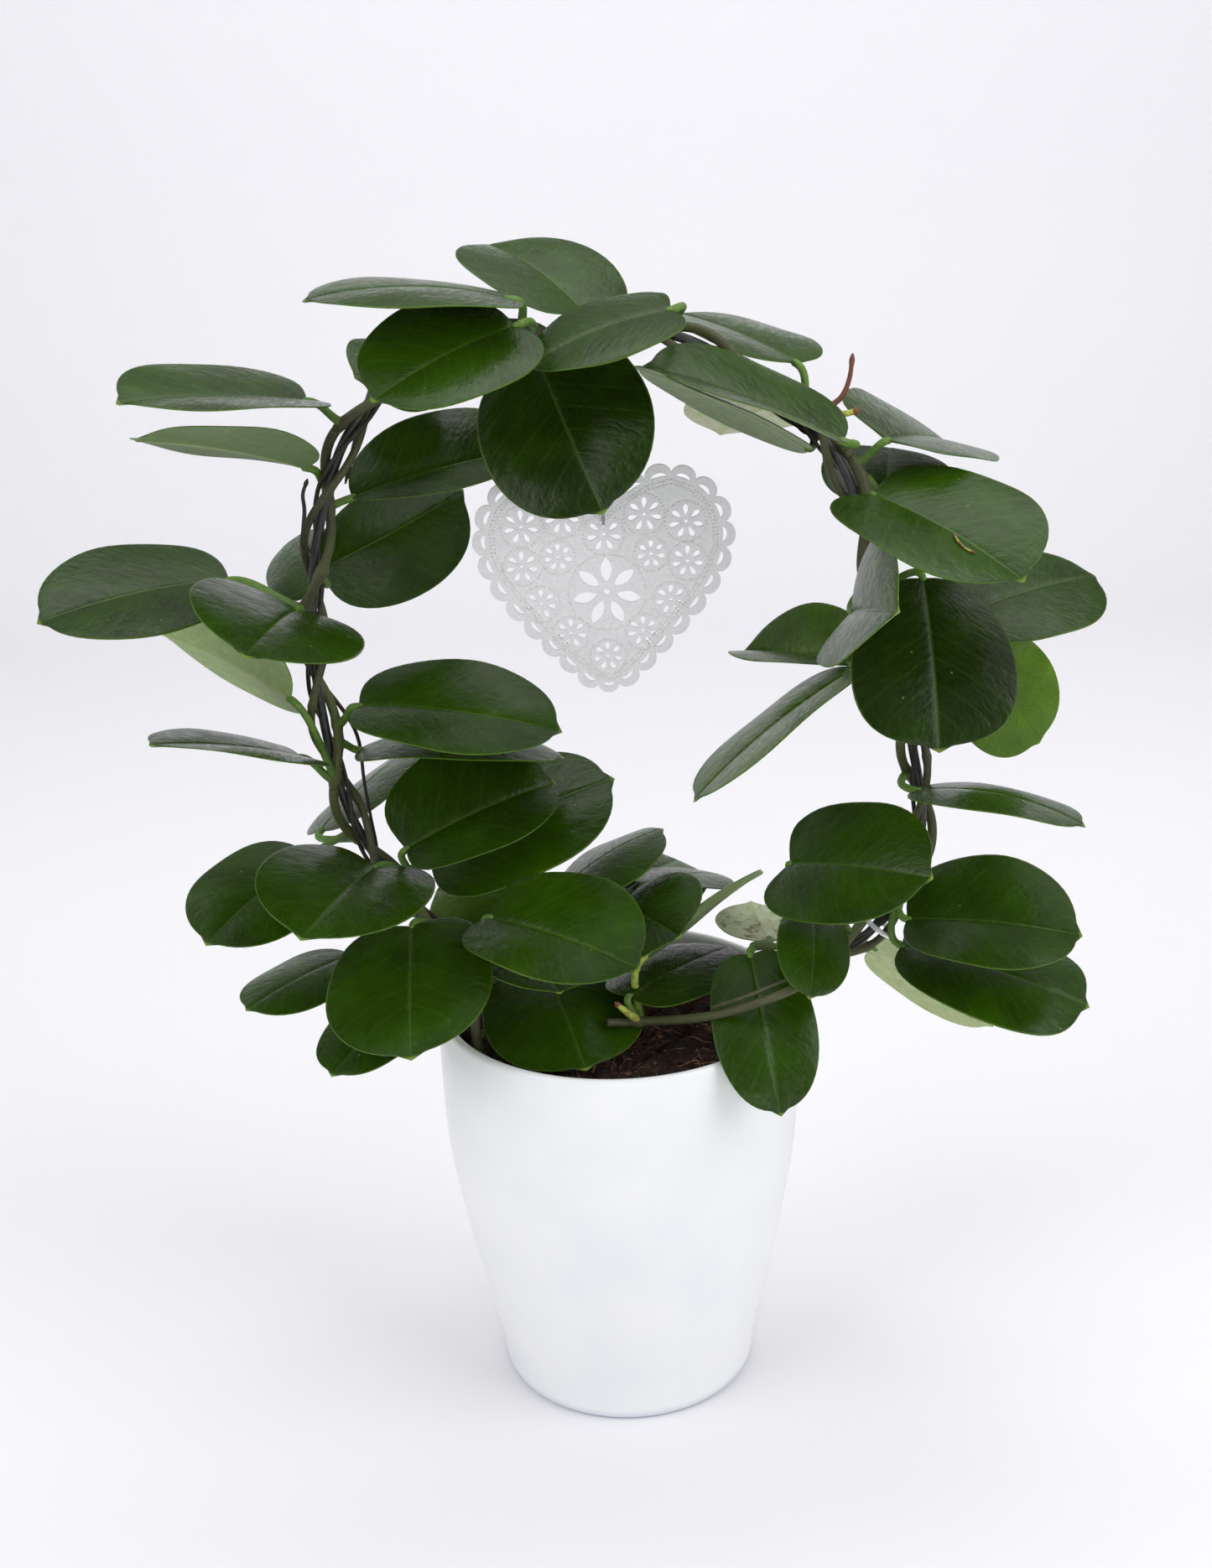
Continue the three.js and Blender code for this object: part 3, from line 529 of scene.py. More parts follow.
def twineOut(at, side):  # the way a stem stands off the wire; side is 0 for the leafy stem and 0.5 for the bare one
    at = np.asarray(at, float)
    along = placeAt(hoopCurve, np.clip(at + 0.0008, 0, 1)) - placeAt(hoopCurve, np.clip(at - 0.0008, 0, 1))
    along = along / np.linalg.norm(along, axis=-1, keepdims=True)
    out = np.stack([-along[..., 2], 0 * at, along[..., 0]], -1)
    turn = 2 * math.pi * (twining["turns"] * at + side)
    return out * np.cos(turn)[..., None] + np.array((0, -1, 0)) * np.sin(turn)[..., None]


def twinePoint(at, side):
    return placeAt(hoopCurve, at) + twineOut(at, side) * twining["reach"]


def knotted(line, radius, knots, swell=0.28):  # radius with a swelling at each leaf joint
    radii = np.full(len(line), radius)
    for knot in knots:
        away = np.linalg.norm(line - knot, axis=1)
        radii += radius * swell * np.exp(-(away / 1.8) ** 2)
    return radii


def wander(line, size, scale, seed):  # how far each point of a stem strays from its even course
    return np.array([size * noise.noise_vector(Vector(p * scale) + Vector((*seed, 0))) for p in line])


def barkTone(line, base, seed):
    return np.array([base + 0.12 * noise.noise(Vector(p * 0.05) + Vector((seed, 0, 0))) for p in line])


def makeBareStem(name, node, start, end, seed):
    shell = newShell()
    count = int((end - start) * hoopLength / twining["step"])
    line = twinePoint(np.linspace(start, end, count), 0.5)
    line = line + wander(line, 0.35, 0.06, (seed, 3))
    radii = knotted(line, twining["bare"] * 0.95, line[8::24], 0.3)  # a joint about every 38 mm
    addTube(shell, line, radii, 10, 0, barkTone(line, 0.28, seed), (0.8, 0.8))
    placePiece(name, shell, [bark], node)


makeBareStem("bareStemLeft", "twining_stem_left", 0.02, 0.48, 1)
makeBareStem("bareStemRight", "twining_stem_right", 0.505, 0.975, 5)


strand = {"reach": 3.1, "radius": 0.8, "tone": 0.1, "step": 1.8}


def makeStrand(name, start, end, side, seed):  # thin old runner between the two stems
    shell = newShell()
    at = np.linspace(start, end, int((end - start) * hoopLength / strand["step"]))
    line = placeAt(hoopCurve, at) + twineOut(at, side) * strand["reach"]
    line = line + wander(line, 0.3, 0.09, (seed, 5))
    radii = knotted(line, strand["radius"], line[11::31], 0.35)
    addTube(shell, line, radii, 8, 0, barkTone(line, strand["tone"], seed), (0.4, 0.4))
    placePiece(name, shell, [bark], None)


makeStrand("oldRunnerLeft", 0.05, 0.45, 0.27, 11)
makeStrand("oldRunnerRight", 0.54, 0.93, 0.74, 12)
print("hoop and bare stems made")

# ---- leaves
blade = {  # rows run from foot to tip, columns from midrib to margin
    "rows": 26,
    "columns": (0, 0.02, 0.045, 0.09, 0.18, 0.3, 0.44, 0.58, 0.72, 0.84, 0.93, 0.975, 1.0),
    "thickness": 0.95,
    "droop": 3,
    "groove": 0.3,
    "rib": 0.45,
    "wave": 0.7,
    "point": 0.035,
}


# foot of the blade, tip, the way its upper face looks, width, fold of the halves in degrees, rise of the midrib;
# lobe is how far the two lobes run back, ahead moves the widest place to the tip, at is where its stalk leaves
# the hoop, tone is how light its green is, which on some leaves is set lower as painted shade and on others
# higher as painted sheen, pale lightens the underside, mottle scars it, and young lightens the stalk
def leaf(foot, tip, face, width, fold, rise, lobe=0.06, ahead=0.0, at=None, tone=0.32, pale=0.0, mottle=0.0, young=0.0):
    return {
        "foot": np.array(foot, float), "tip": np.array(tip, float), "face": np.array(face, float),
        "width": width, "fold": math.radians(fold), "rise": rise, "lobe": lobe, "ahead": ahead, "at": at,
        "tone": tone, "pale": pale, "mottle": mottle, "young": young,
    }


def addBlade(shell, item, seed):
    rand = random.Random(seed)
    foot = item["foot"]
    length = np.linalg.norm(item["tip"] - foot)
    along = unit(item["tip"] - foot)
    face = unit(item["face"] - along * (item["face"] @ along))
    side = np.cross(along, face)
    halves = np.array([-v for v in blade["columns"][:0:-1]] + list(blade["columns"]))
    size = np.abs(halves)
    phases = [rand.uniform(0, 2 * math.pi) for _ in range(4)]
    tone = item["tone"] + rand.uniform(-0.05, 0.05)
    uppers, unders = [], []
    for i in range(1, blade["rows"]):
        turn = math.pi * i / blade["rows"]
        back = item["lobe"] * max(0, math.sin(2 * turn))
        reach = 0.5 - 0.5 * math.cos(turn) - back + item["ahead"] * math.sin(turn) ** 2
        edge = (1 - blade["point"]) * length * reach
        half = item["width"] / 2 * math.sin(turn) ** 0.85
        point = max(0, (turn / math.pi - 0.86) / 0.14)  # the last stretch draws out to the tip
        rib = max(edge, 12 * turn / math.pi) + blade["point"] * length * point ** 1.6
        x = rib + (edge - rib) * size
        u = np.clip(x / length, 0, 1)
        out = half * halves
        lift = item["rise"] * 4 * u * (1 - u) + np.abs(out) * math.sin(item["fold"])
        lift = lift - blade["droop"] * (out / (item["width"] / 2)) ** 2
        ripple = np.sin(5.5 * u + phases[0] + 1.2 * halves) * size ** 2
        ripple = ripple + 0.5 * np.sin(9 * u + phases[1] - 2 * halves) * size ** 3
        lift = lift + blade["wave"] * ripple * math.sin(turn)
        middle = foot + along * x[:, None] + side * (out * math.cos(item["fold"]))[:, None] + face * lift[:, None]
        thick = blade["thickness"] / 2 * (1 - 0.62 * size ** 2)
        fade = math.sin(turn) ** 0.4
        groove = blade["groove"] * fade * np.exp(-(out / 0.7) ** 2)
        keel = blade["rib"] * fade * np.exp(-(out / 0.9) ** 2)
        values = {"across": size, "along": u, "tone": np.full(len(u), tone), "mottle": item["mottle"]}
        uppers.append(addPoints(shell, middle + face * (thick - groove)[:, None], **values))
        values["tone"] = values["tone"] + item["pale"]
        unders.append(addPoints(shell, middle - face * (thick + keel)[:, None], **values))
    start = addPoints(shell, [foot], tone=tone)
    end = addPoints(shell, [item["tip"]], tone=tone, along=1.0)
    last = len(halves) - 1
    for c in range(last):
        addFaces(shell, [(start, uppers[0] + c + 1, uppers[0] + c)], 0)
        addFaces(shell, [(start, unders[0] + c, unders[0] + c + 1)], 1)
        addFaces(shell, [(uppers[-1] + c, uppers[-1] + c + 1, end)], 0)
        addFaces(shell, [(unders[-1] + c, end, unders[-1] + c + 1)], 1)
        addFaces(shell, [(a + c, a + c + 1, b + c + 1, b + c) for a, b in zip(uppers, uppers[1:])], 0)
        addFaces(shell, [(a + c, b + c, b + c + 1, a + c + 1) for a, b in zip(unders, unders[1:])], 1)
    for c, flip in ((0, False), (last, True)):
        rims = [(u0 + c, u1 + c, d1 + c, d0 + c) for u0, u1, d0, d1 in zip(uppers, uppers[1:], unders, unders[1:])]
        rims += [(start, uppers[0] + c, unders[0] + c), (uppers[-1] + c, end, unders[-1] + c)]
        addFaces(shell, [tuple(reversed(r)) if flip else r for r in rims], 0)


stalk = {"radius": 1.6, "tone": 0.7, "clear": 0.6, "lean": 0.6}


def stalkLine(item, start, out, count=14):  # leaves the stem along out and runs into the blade along the midrib
    foot = item["foot"]
    along = unit(item["tip"] - foot)
    reach = np.linalg.norm(foot - start)
    a, b = start, start + out * min(8, 0.5 * reach)
    c, d = foot - along * min(9, 0.4 * reach), foot + along
    t = np.linspace(0, 1, count)[:, None]
    return a * (1 - t) ** 3 + 3 * b * t * (1 - t) ** 2 + 3 * c * t ** 2 * (1 - t) + d * t ** 3


wireLine = placeAt(hoopCurve, np.linspace(0, 1, 301))
bareLine = np.vstack([twinePoint(np.linspace(a, b, 150), 0.5) for a, b in ((0.02, 0.48), (0.505, 0.975))])


def crowding(line):  # how far a stalk comes too near to the wire or the bare stem
    worst = 0
    for others, radius in ((wireLine, hoop["radius"]), (bareLine, twining["bare"])):
        away = np.linalg.norm(line[:, None] - others[None], axis=2).min()
        worst = max(worst, radius + stalk["radius"] + stalk["clear"] - away)
    return worst


def stalkOnTwine(item, stretch):  # the place near the leaf where a stalk clears the wire and the bare stem best
    def leaving(at):
        start = twinePoint(at, 0)
        return start, unit(unit(item["foot"] - start) + stalk["lean"] * twineOut(at, 0))

    if item["at"]:
        return leaving(item["at"])
    best = None
    for i in range(41):
        at = stretch[0] + 0.004 + (stretch[1] - stretch[0] - 0.008) * i / 40
        start, out = leaving(at)
        towards = unit(item["foot"] - placeAt(hoopCurve, at))
        near = np.linalg.norm(item["foot"] - start) + 10 * (1 - towards @ twineOut(at, 0))
        cost = near + 40 * crowding(stalkLine(item, start, out, 9))
        if best is None or cost < best[0]:
            best = (cost, start, out)
    return best[1:]


def stalkOnRoute(item, curves):
    places = np.vstack([placeAt(curve, np.linspace(0, 1, 13)[1:]) for curve in curves])
    start = min(places, key=lambda p: np.linalg.norm(p - item["foot"]))
    return start, unit(item["foot"] - start)


stemLowLeft = {
    "node": "stem_low_left",
    "tone": 0.42,
    "stretch": (0.02, 0.2),
    "leaves": [
        leaf((-112, 6, 214), (-143, -43, 201), (-0.2, -0.7, 0.7), 48, 8, 3),
        leaf((-86, -10, 215), (-105, -69, 213), (0.2, -0.1, 1), 61, 13, 3, lobe=0.12),
        leaf((-74, -14, 193), (-71, -71, 168), (-0.1, -0.9, 0.5), 61, 8, 3, ahead=0.04),
        # this leaf's lighter tone is painted sheen
        leaf((-100, 4, 174), (-134, -32, 170), (0, -0.1, 1), 36, 1, 2, lobe=0.04, tone=0.42),
        leaf((-72, -18, 168), (-101, -58, 156), (0, 0, 1), 40, 6, 3),
        leaf((-75, -6, 220), (-20, 16, 236), (-0.15, -0.6, 0.9), 60, 26, 3, lobe=0.1),
        leaf((-68, 11, 208), (2, 21, 235), (-0.3, -0.45, 0.85), 62, 2, 3),
        leaf((-40, 18, 190), (-70, 40, 184), (-0.3, -0.5, 0.85), 42, 5, 2, tone=0.5),
        leaf((-110, 22, 218), (-75, 62, 238), (-0.5, 0, 0.9), 46, 0, 2),
    ],
}
stemMidLeft = {
    "node": "stem_mid_left",
    "tone": 0.4,
    "stretch": (0.2, 0.285),
    "leaves": [
        leaf((-88, -6, 275), (-16, -14, 265), (0.1, -0.3, 1), 58, 12, 3),
        leaf((-90, 2, 256), (-16, 2, 250), (0.1, 0.1, 1), 50, -3, 9),
        leaf((-110, -4, 256), (-155, -40, 274), (0.2, 0.2, 1), 54, 8, 2, lobe=0.06, ahead=-0.14),
        leaf((-112, -4, 278), (-162, 23, 297), (0.55, 0.65, 0.5), 50, 18, 2, at=0.206, tone=0.4, pale=0.15),
    ],
}
stemHighLeft = {
    "node": "stem_high_left",
    "stretch": (0.285, 0.37),
    "leaves": [
        leaf((-106, -8, 311), (-114, -69, 311), (0.35, -0.3, 0.9), 60, 10, 3),
        leaf((-131, 4, 320), (-190, -30, 315), (0.1, -0.3, 0.9), 60, 10, 3, at=0.288),
        leaf((-100, 14, 316), (-119, 58, 321), (-0.5, -0.3, 0.8), 32, 5, 2, at=0.304),
        # this leaf's darker tone is painted shade
        leaf((-100, 13, 321), (-50, 48, 341), (0.6, -0.8, -0.1), 53, 25, 2, ahead=0.05, at=0.307, tone=0.28),
        leaf((-99, -6, 360), (-147, -44, 377), (0.05, 0.33, 0.9), 50, 13, 2, lobe=0.03, ahead=0.06, at=0.342, tone=0.3),
        leaf((-86, 6, 347), (-23, 29, 358), (0.1, -0.4, 0.9), 52, 25, 2, lobe=0, ahead=0.12),
    ],
}
stemTopLeft = {
    "node": "stem_top_left",
    "stretch": (0.37, 0.475),
    "leaves": [
        leaf((-97, -4, 382), (-152, -41, 388), (0.2, -0.1, 1), 56, 14, 2, lobe=0.1),
        leaf((-27, -20, 414), (-91, -38, 417), (0, -0.1, 1), 52, 4, 4, lobe=0.1),
        leaf((-25, -26, 406), (-69, -60, 388), (-0.3, -0.7, 0.6), 52, 10, 3),
        leaf((-59, 38, 385), (-83, 14, 387), (0, -0.7, 0.7), 40, 5, 2),
    ],
}
stemTop = {
    "node": "stem_top",
    "stretch": (0.475, 0.56),
    "leaves": [
        # this leaf's darker tone is painted shade
        leaf((-19, -6, 394), (1, -41, 347), (-0.1, -1, 0.2), 59, 6, 3, tone=0.2),
        leaf((25, -24, 409), (-22, -30, 393), (-0.1, -0.3, 0.95), 46, 6, 3, lobe=0.1, ahead=-0.06, at=0.532),
        leaf((-3, 3, 407), (-36, 41, 428), (0, -0.05, 1), 57, 11, 3, lobe=0.12, ahead=0.03),
    ],
}
stemTopRight = {
    "node": "stem_top_right",
    "stretch": (0.56, 0.63),
    "leaves": [
        leaf((69, 10, 387), (30, 54, 401), (0.2, -0.1, 1), 54, 8, 2, lobe=0.04),
        leaf((80, -30, 366), (15, -27, 392), (0.4, -0.2, 0.9), 53, 20, 2, ahead=0.05, at=0.625),
        leaf((73, 7, 358), (13, 11, 388), (0.4, 0.25, 0.9), 46, 0, 2, ahead=0.06),
        leaf((65, 30, 371), (47, 79, 353), (0, 0.7, 0.8), 48, 10, 2, tone=0.4, pale=0.45),
    ],
}
stemHighRight = {
    "node": "stem_high_right",
    "stretch": (0.63, 0.7),
    "leaves": [
        leaf((99, 0, 361), (128, 46, 352), (0.6, 0.35, 0.72), 60, 15, 2, lobe=0.1),
        leaf((101, 16, 336), (108, 52, 350), (0, -0.6, 0.8), 48, 6, 2),
        leaf((93, -8, 344), (134, -60, 324), (0.2, -0.6, 0.8), 62, 14, 3, lobe=0.12, ahead=0.03),
        leaf((86, -12, 304), (93, -68, 318), (-0.85, -0.24, 0.5), 50, 22, 2, lobe=0.04, at=0.69, tone=0.4, pale=0.4),
        # this leaf's darker tone is painted shade
        leaf((112, -2, 313), (111, -46, 263), (0, -1, 0.2), 57, 6, 4, lobe=0, ahead=0.12, tone=0.2),
    ],
}
stemMidRight = {
    "node": "stem_mid_right",
    "stretch": (0.7, 0.79),
    "leaves": [
        leaf((128, 4, 298), (180, 25, 305), (0, -0.4, 0.95), 52, 3, 2),
        leaf((132, 14, 284), (161, 20, 243), (0.2, -0.9, 0.2), 42, 5, 2, lobe=0.04, ahead=0.05, tone=0.6),
        leaf((88, 6, 280), (52, 40, 277), (0.1, -0.4, 0.95), 52, 28, 2, lobe=0.03, tone=0.5),
        # this leaf's lighter tone is painted sheen
        leaf((88, -4, 281), (29, -25, 241), (-0.6, 0.05, 0.8), 54, 8, 3, lobe=0.03, tone=0.42),
        leaf((109, -16, 239), (162, -45, 234), (0.2, 0.05, 1), 44, 3, 5, at=0.785, tone=0.4),
    ],
}
stemLowRight = {
    "node": "stem_low_right",
    "stretch": (0.79, 0.975),
    "leaves": [
        leaf((107, -13, 188), (168, -27, 185), (-0.1, -0.4, 0.9), 57, 19, 3),
        leaf((106, -8, 175), (170, -34, 160), (0.1, -0.3, 1), 54, 2, 3, ahead=0.14),
        leaf((100, 18, 163), (144, 4, 134), (0.6, 0.6, 0.6), 54, 2, 2, tone=0.4, pale=0.3),
    ],
}
runnerFront = {
    "node": "runner_front",
    "route": [
        (-4, -34, 161), (8, -32, 160), (31, -46, 168), (52, -58, 180), (63, -56, 184), (74, -43, 186), (85, -25, 188),
    ],
    "meets": 0.86,
    "radius": 1.7,
    "leaves": [
        leaf((10, -16, 178), (57, 14, 198), (-0.5, 0.5, 0.75), 38, 6, 2, lobe=0.04, tone=0.5, young=0.18),
        leaf((4, -30, 169), (44, 12, 168), (0, 0, 1), 43, 2, 2),
        leaf((48, -30, 184), (55, -69, 140), (0, -1, 0.25), 37, 8, 4),
        leaf((57, -9, 180), (53, 28, 180), (-0.1, 0.1, -1), 34, 6, 2, tone=0.4, mottle=1, pale=0.5),
        leaf((64, -14, 212), (108, -57, 222), (0, -0.7, 0.7), 53, 12, 3, lobe=0.14),
        leaf((72, -22, 197), (65, -66, 183), (0, -1, 0.3), 27, 8, 3, lobe=0.04),
    ],
    "shoots": [
        ([(74, -43, 186), (64, -30, 186), (50, -23, 184)], 1.4),
        ([(85, -25, 188), (80, -20, 195), (71, -16, 204)], 1.4),
    ],
}
shootFront = {
    "node": "shoot_front",
    # the stem is set a little darker than the other stems: painted shade for the dark gap it runs through
    "tone": 0.28,
    "route": [(-45, -30, 114), (-48, -30, 138), (-52, -28, 154), (-51, -24, 168), (-46, -17, 186)],
    "radius": 1.8,
    "leaves": [
        leaf((-27, 1, 167), (-12, -51, 151), (0, -0.3, 0.95), 59, 1, 2, lobe=0.1),
        leaf((-41, -10, 186), (-20, -46, 179), (0.2, 0, 1), 42, 5, 2),
        leaf((-45, -23, 199), (8, -59, 193), (-0.1, -0.3, 0.9), 57, 19, 3, lobe=0.08),
    ],
    "shoots": [([(-52, -28, 154), (-38, -18, 158), (-23, -3, 163)], 1.4)],
}
shootBack = {
    "node": "shoot_back",
    "tone": 0.12,
    "route": [(3, 18, 114), (3, 17, 145), (5, 17, 168), (8, 18, 184)],
    "radius": 1.8,
    "leaves": [
        leaf((2, 4, 190), (23, -33, 193), (-0.3, -0.4, 0.9), 48, 8, 2),
        leaf((-20, 11, 194), (20, 24, 213), (-0.4, 0, 0.9), 50, -3, 3, ahead=0.06),
        leaf((4, 30, 185), (27, 66, 183), (0.2, -0.1, 1), 46, 6, 2),
        leaf((12, 20, 192), (43, 43, 185), (0.1, 0.2, 1), 40, 4, 2, lobe=0.02),
    ],
}


# short bare shoots and buds beside the leafy stems: route, radius at the start and at the end, tone
youngShoots = {
    "stem_mid_left": [([(-104, 5, 284), (-92, 8, 262), (-90, 8, 240), (-87, 7, 212)], 0.8, 0.55, 0.12)],
    "stem_high_left": [
        ([(-101, -4, 331), (-102.5, -6, 334), (-101, -6, 345), (-101, -6, 351), (-99, -6, 356)], 0.9, 0.6, 0.05),
    ],
    "stem_top_left": [([(-74, 4, 381), (-82, 6, 370), (-88, 7, 352)], 0.9, 0.6, 0.1)],
    "stem_top_right": [
        ([(76, 4, 366), (79.5, 4, 372), (84, 4, 376), (86.5, 4, 382), (87.5, 4, 390)], 1.2, 0.7, 1.1),
        ([(78, -2, 367), (80, -5, 371), (84, -6, 371.5), (88.5, -6, 372.5)], 1.4, 1.0, 0.85),
    ],
    "stem_high_right": [  # dry scale lying on a leaf
        ([(115, -40.9, 336.1), (115.4, -45.2, 335), (117.2, -49.4, 333.3), (119.9, -51.1, 332.2)], 0.45, 0.35, 1.0),
    ],
    "runner_front": [
        ([(74, -43, 187), (62, -53, 186), (46, -56, 181), (33, -47, 172)], 0.8, 0.6, 0.3),
        ([(8, -32, 160), (2, -34, 166), (-1, -34, 169)], 1.7, 0.7, 0.95),
    ],
}


def makeLeafyStem(settings, seed):
    shell = newShell()
    curves, knots = [], []
    if "stretch" in settings:
        start, end = settings["stretch"]
        trim = twining["gap"] / 2 / hoopLength
        count = int((end - start) * hoopLength / twining["step"])
        line = twinePoint(np.linspace(start + trim, end - trim, count), 0)
        inner = np.sin(math.pi * np.linspace(0, 1, count))[:, None]  # wanders less near the cut ends
        line = line + inner * wander(line, 0.4, 0.07, (seed, 7))
        radius, tone = twining["leafy"] * 0.92, settings.get("tone", 0.3)
    else:
        route = [np.array(p, float) for p in settings["route"]]
        if "meets" in settings:
            out = twineOut(settings["meets"], 0)
            route.append(twinePoint(settings["meets"], 0) + out * (twining["leafy"] + 1.5 * twining["gap"]))
        curves.append(measured(smoothLine(route)))
        line = placeAt(curves[0], np.linspace(0, 1, 90))
        radius, tone = settings["radius"] * 0.97, settings.get("tone", 0.33)
    shoots = []
    for route, thick in settings.get("shoots", []):
        curves.append(measured(smoothLine(route)))
        shoots.append((placeAt(curves[-1], np.linspace(0, 1, 30)), thick))
    for number, item in enumerate(settings["leaves"]):
        where, out = stalkOnTwine(item, settings["stretch"]) if "stretch" in settings else stalkOnRoute(item, curves)
        knots.append(where)
        petiole = stalkLine(item, where, out)
        t = np.linspace(0, 1, len(petiole))
        thick = stalk["radius"] * (1.15 - 0.28 * np.sin(math.pi * t) ** 0.7 - 0.3 * t ** 6)
        addTube(shell, petiole, thick, 10, 2, stalk["tone"] + item["young"] - 0.14 * (1 - t) ** 2, (0.3, 0.5))
        addBlade(shell, item, 100 * seed + number)
    addTube(shell, line, knotted(line, radius, knots), 12, 2, barkTone(line, tone, seed), (0.25, 0.25))
    for path, thick in shoots:
        addTube(shell, path, knotted(path, thick * 0.95, [path[-1]]), 10, 2, barkTone(path, 0.5, seed), (0.5, 0.6))
    for route, thick, thin, young in youngShoots.get(settings["node"], []):
        path = smoothLine(route, 10)
        radii = np.linspace(thick, thin, len(path))
        radii[-6:] *= np.array([1.0, 1.15, 1.35, 1.3, 1.0, 0.55])  # the bud
        tones = barkTone(path, young, seed)
        if young > 0.8:
            tones[-5:] = 1.05  # its bud is red brown
        addTube(shell, path, radii, 8, 2, tones, (0.4, 0.9))
    name = settings["node"].title().replace("_", "")
    placePiece("leafy" + name, shell, [leafUpper, leafUnder, bark], settings["node"])


allStems = (
    stemLowLeft, stemMidLeft, stemHighLeft, stemTopLeft, stemTop, stemTopRight,
    stemHighRight, stemMidRight, stemLowRight, runnerFront, shootFront, shootBack,
)
for number, settings in enumerate(allStems):
    makeLeafyStem(settings, number + 1)
print("leafy stems made")

# ---- heart: pierced sheet, its outline a row of scallops, flowers cut through it, beads pressed along the border
heart = {
    "place": (1, 1, 274.5),
    "thickness": 1.2,
    "rise": 0.42,
    "feet": [
        (0, 66), (6.5, 71.5), (14.8, 76.3), (24, 78.3), (32.3, 75.3), (38.8, 69), (42.3, 60.5), (42, 51.5),
        (39, 43), (34, 35.5), (28.2, 28.3), (22.3, 21.5), (16.3, 15), (10.3, 8.8), (3.6, 3.4),
    ],
    "flowers": [  # place and reach of each pierced flower
        (0, 57.5, 6.1), (14.3, 64, 6.1), (28.7, 61, 6.1), (16.3, 50, 4.9),
        (29, 47, 5.6), (22.8, 33.5, 5.4), (12.7, 22.5, 5.4), (0, 13.7, 5.2),
    ],
    "petal": (1.9, 1.75, 0.62),  # where its petals start, their width, and its round middle
    "middle": (0.4, 37, 12.4),
    "middlePetal": (3.5, 3.9, 1.1),
    "edge": 0.12,  # rounding of the cut edges
    "beadRows": (2.6, 3.9),  # how far inside the border
    "beadRing": 1.1,  # how far outside each flower
    "beadSpacing": 1.3,
    "bead": 0.5,
    "beadHeight": 0.55,
    "beadSunk": 0.05,
}


def flat(a):
    return np.array(a, float)


def scallop(a, b, count=11):
    a, b = flat(a), flat(b)
    chord = b - a
    out = flat((-chord[1], chord[0])) * heart["rise"]
    turns = np.linspace(0, math.pi, count, endpoint=False)
    return [a + chord * (0.5 - 0.5 * math.cos(t)) + out * math.sin(t) for t in turns]


def scallopSlit(a, b):  # crescent just inside the scallop
    a, b = flat(a), flat(b)
    chord, middle = b - a, (a + b) / 2
    out = unit(flat((-chord[1], chord[0])))
    reach = 0.3 * np.linalg.norm(chord)
    along = unit(chord)

    def bow(turns, high):
        return [middle + along * (reach * math.cos(t)) + out * (high * math.sin(t) - 1.0) for t in turns]

    return bow(np.linspace(math.pi, 0, 9), 1.75) + bow(np.linspace(0, math.pi, 9)[1:-1], 0.35)


def petalHole(centre, turn, inner, reach, width, pointed):
    out = flat((math.cos(turn), math.sin(turn)))
    side = flat((-out[1], out[0]))
    shape = []
    for t in np.linspace(0, 1, 9):
        wide = math.sin(math.pi * t) ** 0.8 if pointed else math.sin(math.pi * t ** 1.6) ** 0.75
        shape.append((inner + (reach - inner) * t, width / 2 * wide))
    ring = shape + [(r, -w) for r, w in shape[-2:0:-1]]
    return [flat(centre) + out * r + side * w for r, w in ring]


def roundHole(centre, radius):
    return [flat(centre) + p for p in circlePoints(radius, 10)]


def flowerHoles(centre, reach, inner, width, middle, pointed=False):
    turns = [math.pi / 2 + 2 * math.pi * k / 7 for k in range(7)]
    return [petalHole(centre, t, inner, reach, width, pointed) for t in turns] + [roundHole(centre, middle)]


def insetLine(points, distance):  # closed line moved inwards
    p = np.array(points)
    ahead = np.roll(p, -1, axis=0) - np.roll(p, 1, axis=0)
    inward = np.stack([ahead[:, 1], -ahead[:, 0]], -1)
    return p + inward / np.linalg.norm(inward, axis=1)[:, None] * distance


def beadPlaces(points):  # evenly along a closed line
    line, run = measured(np.array(points + points[:1]))
    places = np.linspace(0, run[-1], int(run[-1] / heart["beadSpacing"]), endpoint=False)
    return [flat((np.interp(s, run, line[:, 0]), np.interp(s, run, line[:, 1]))) for s in places]


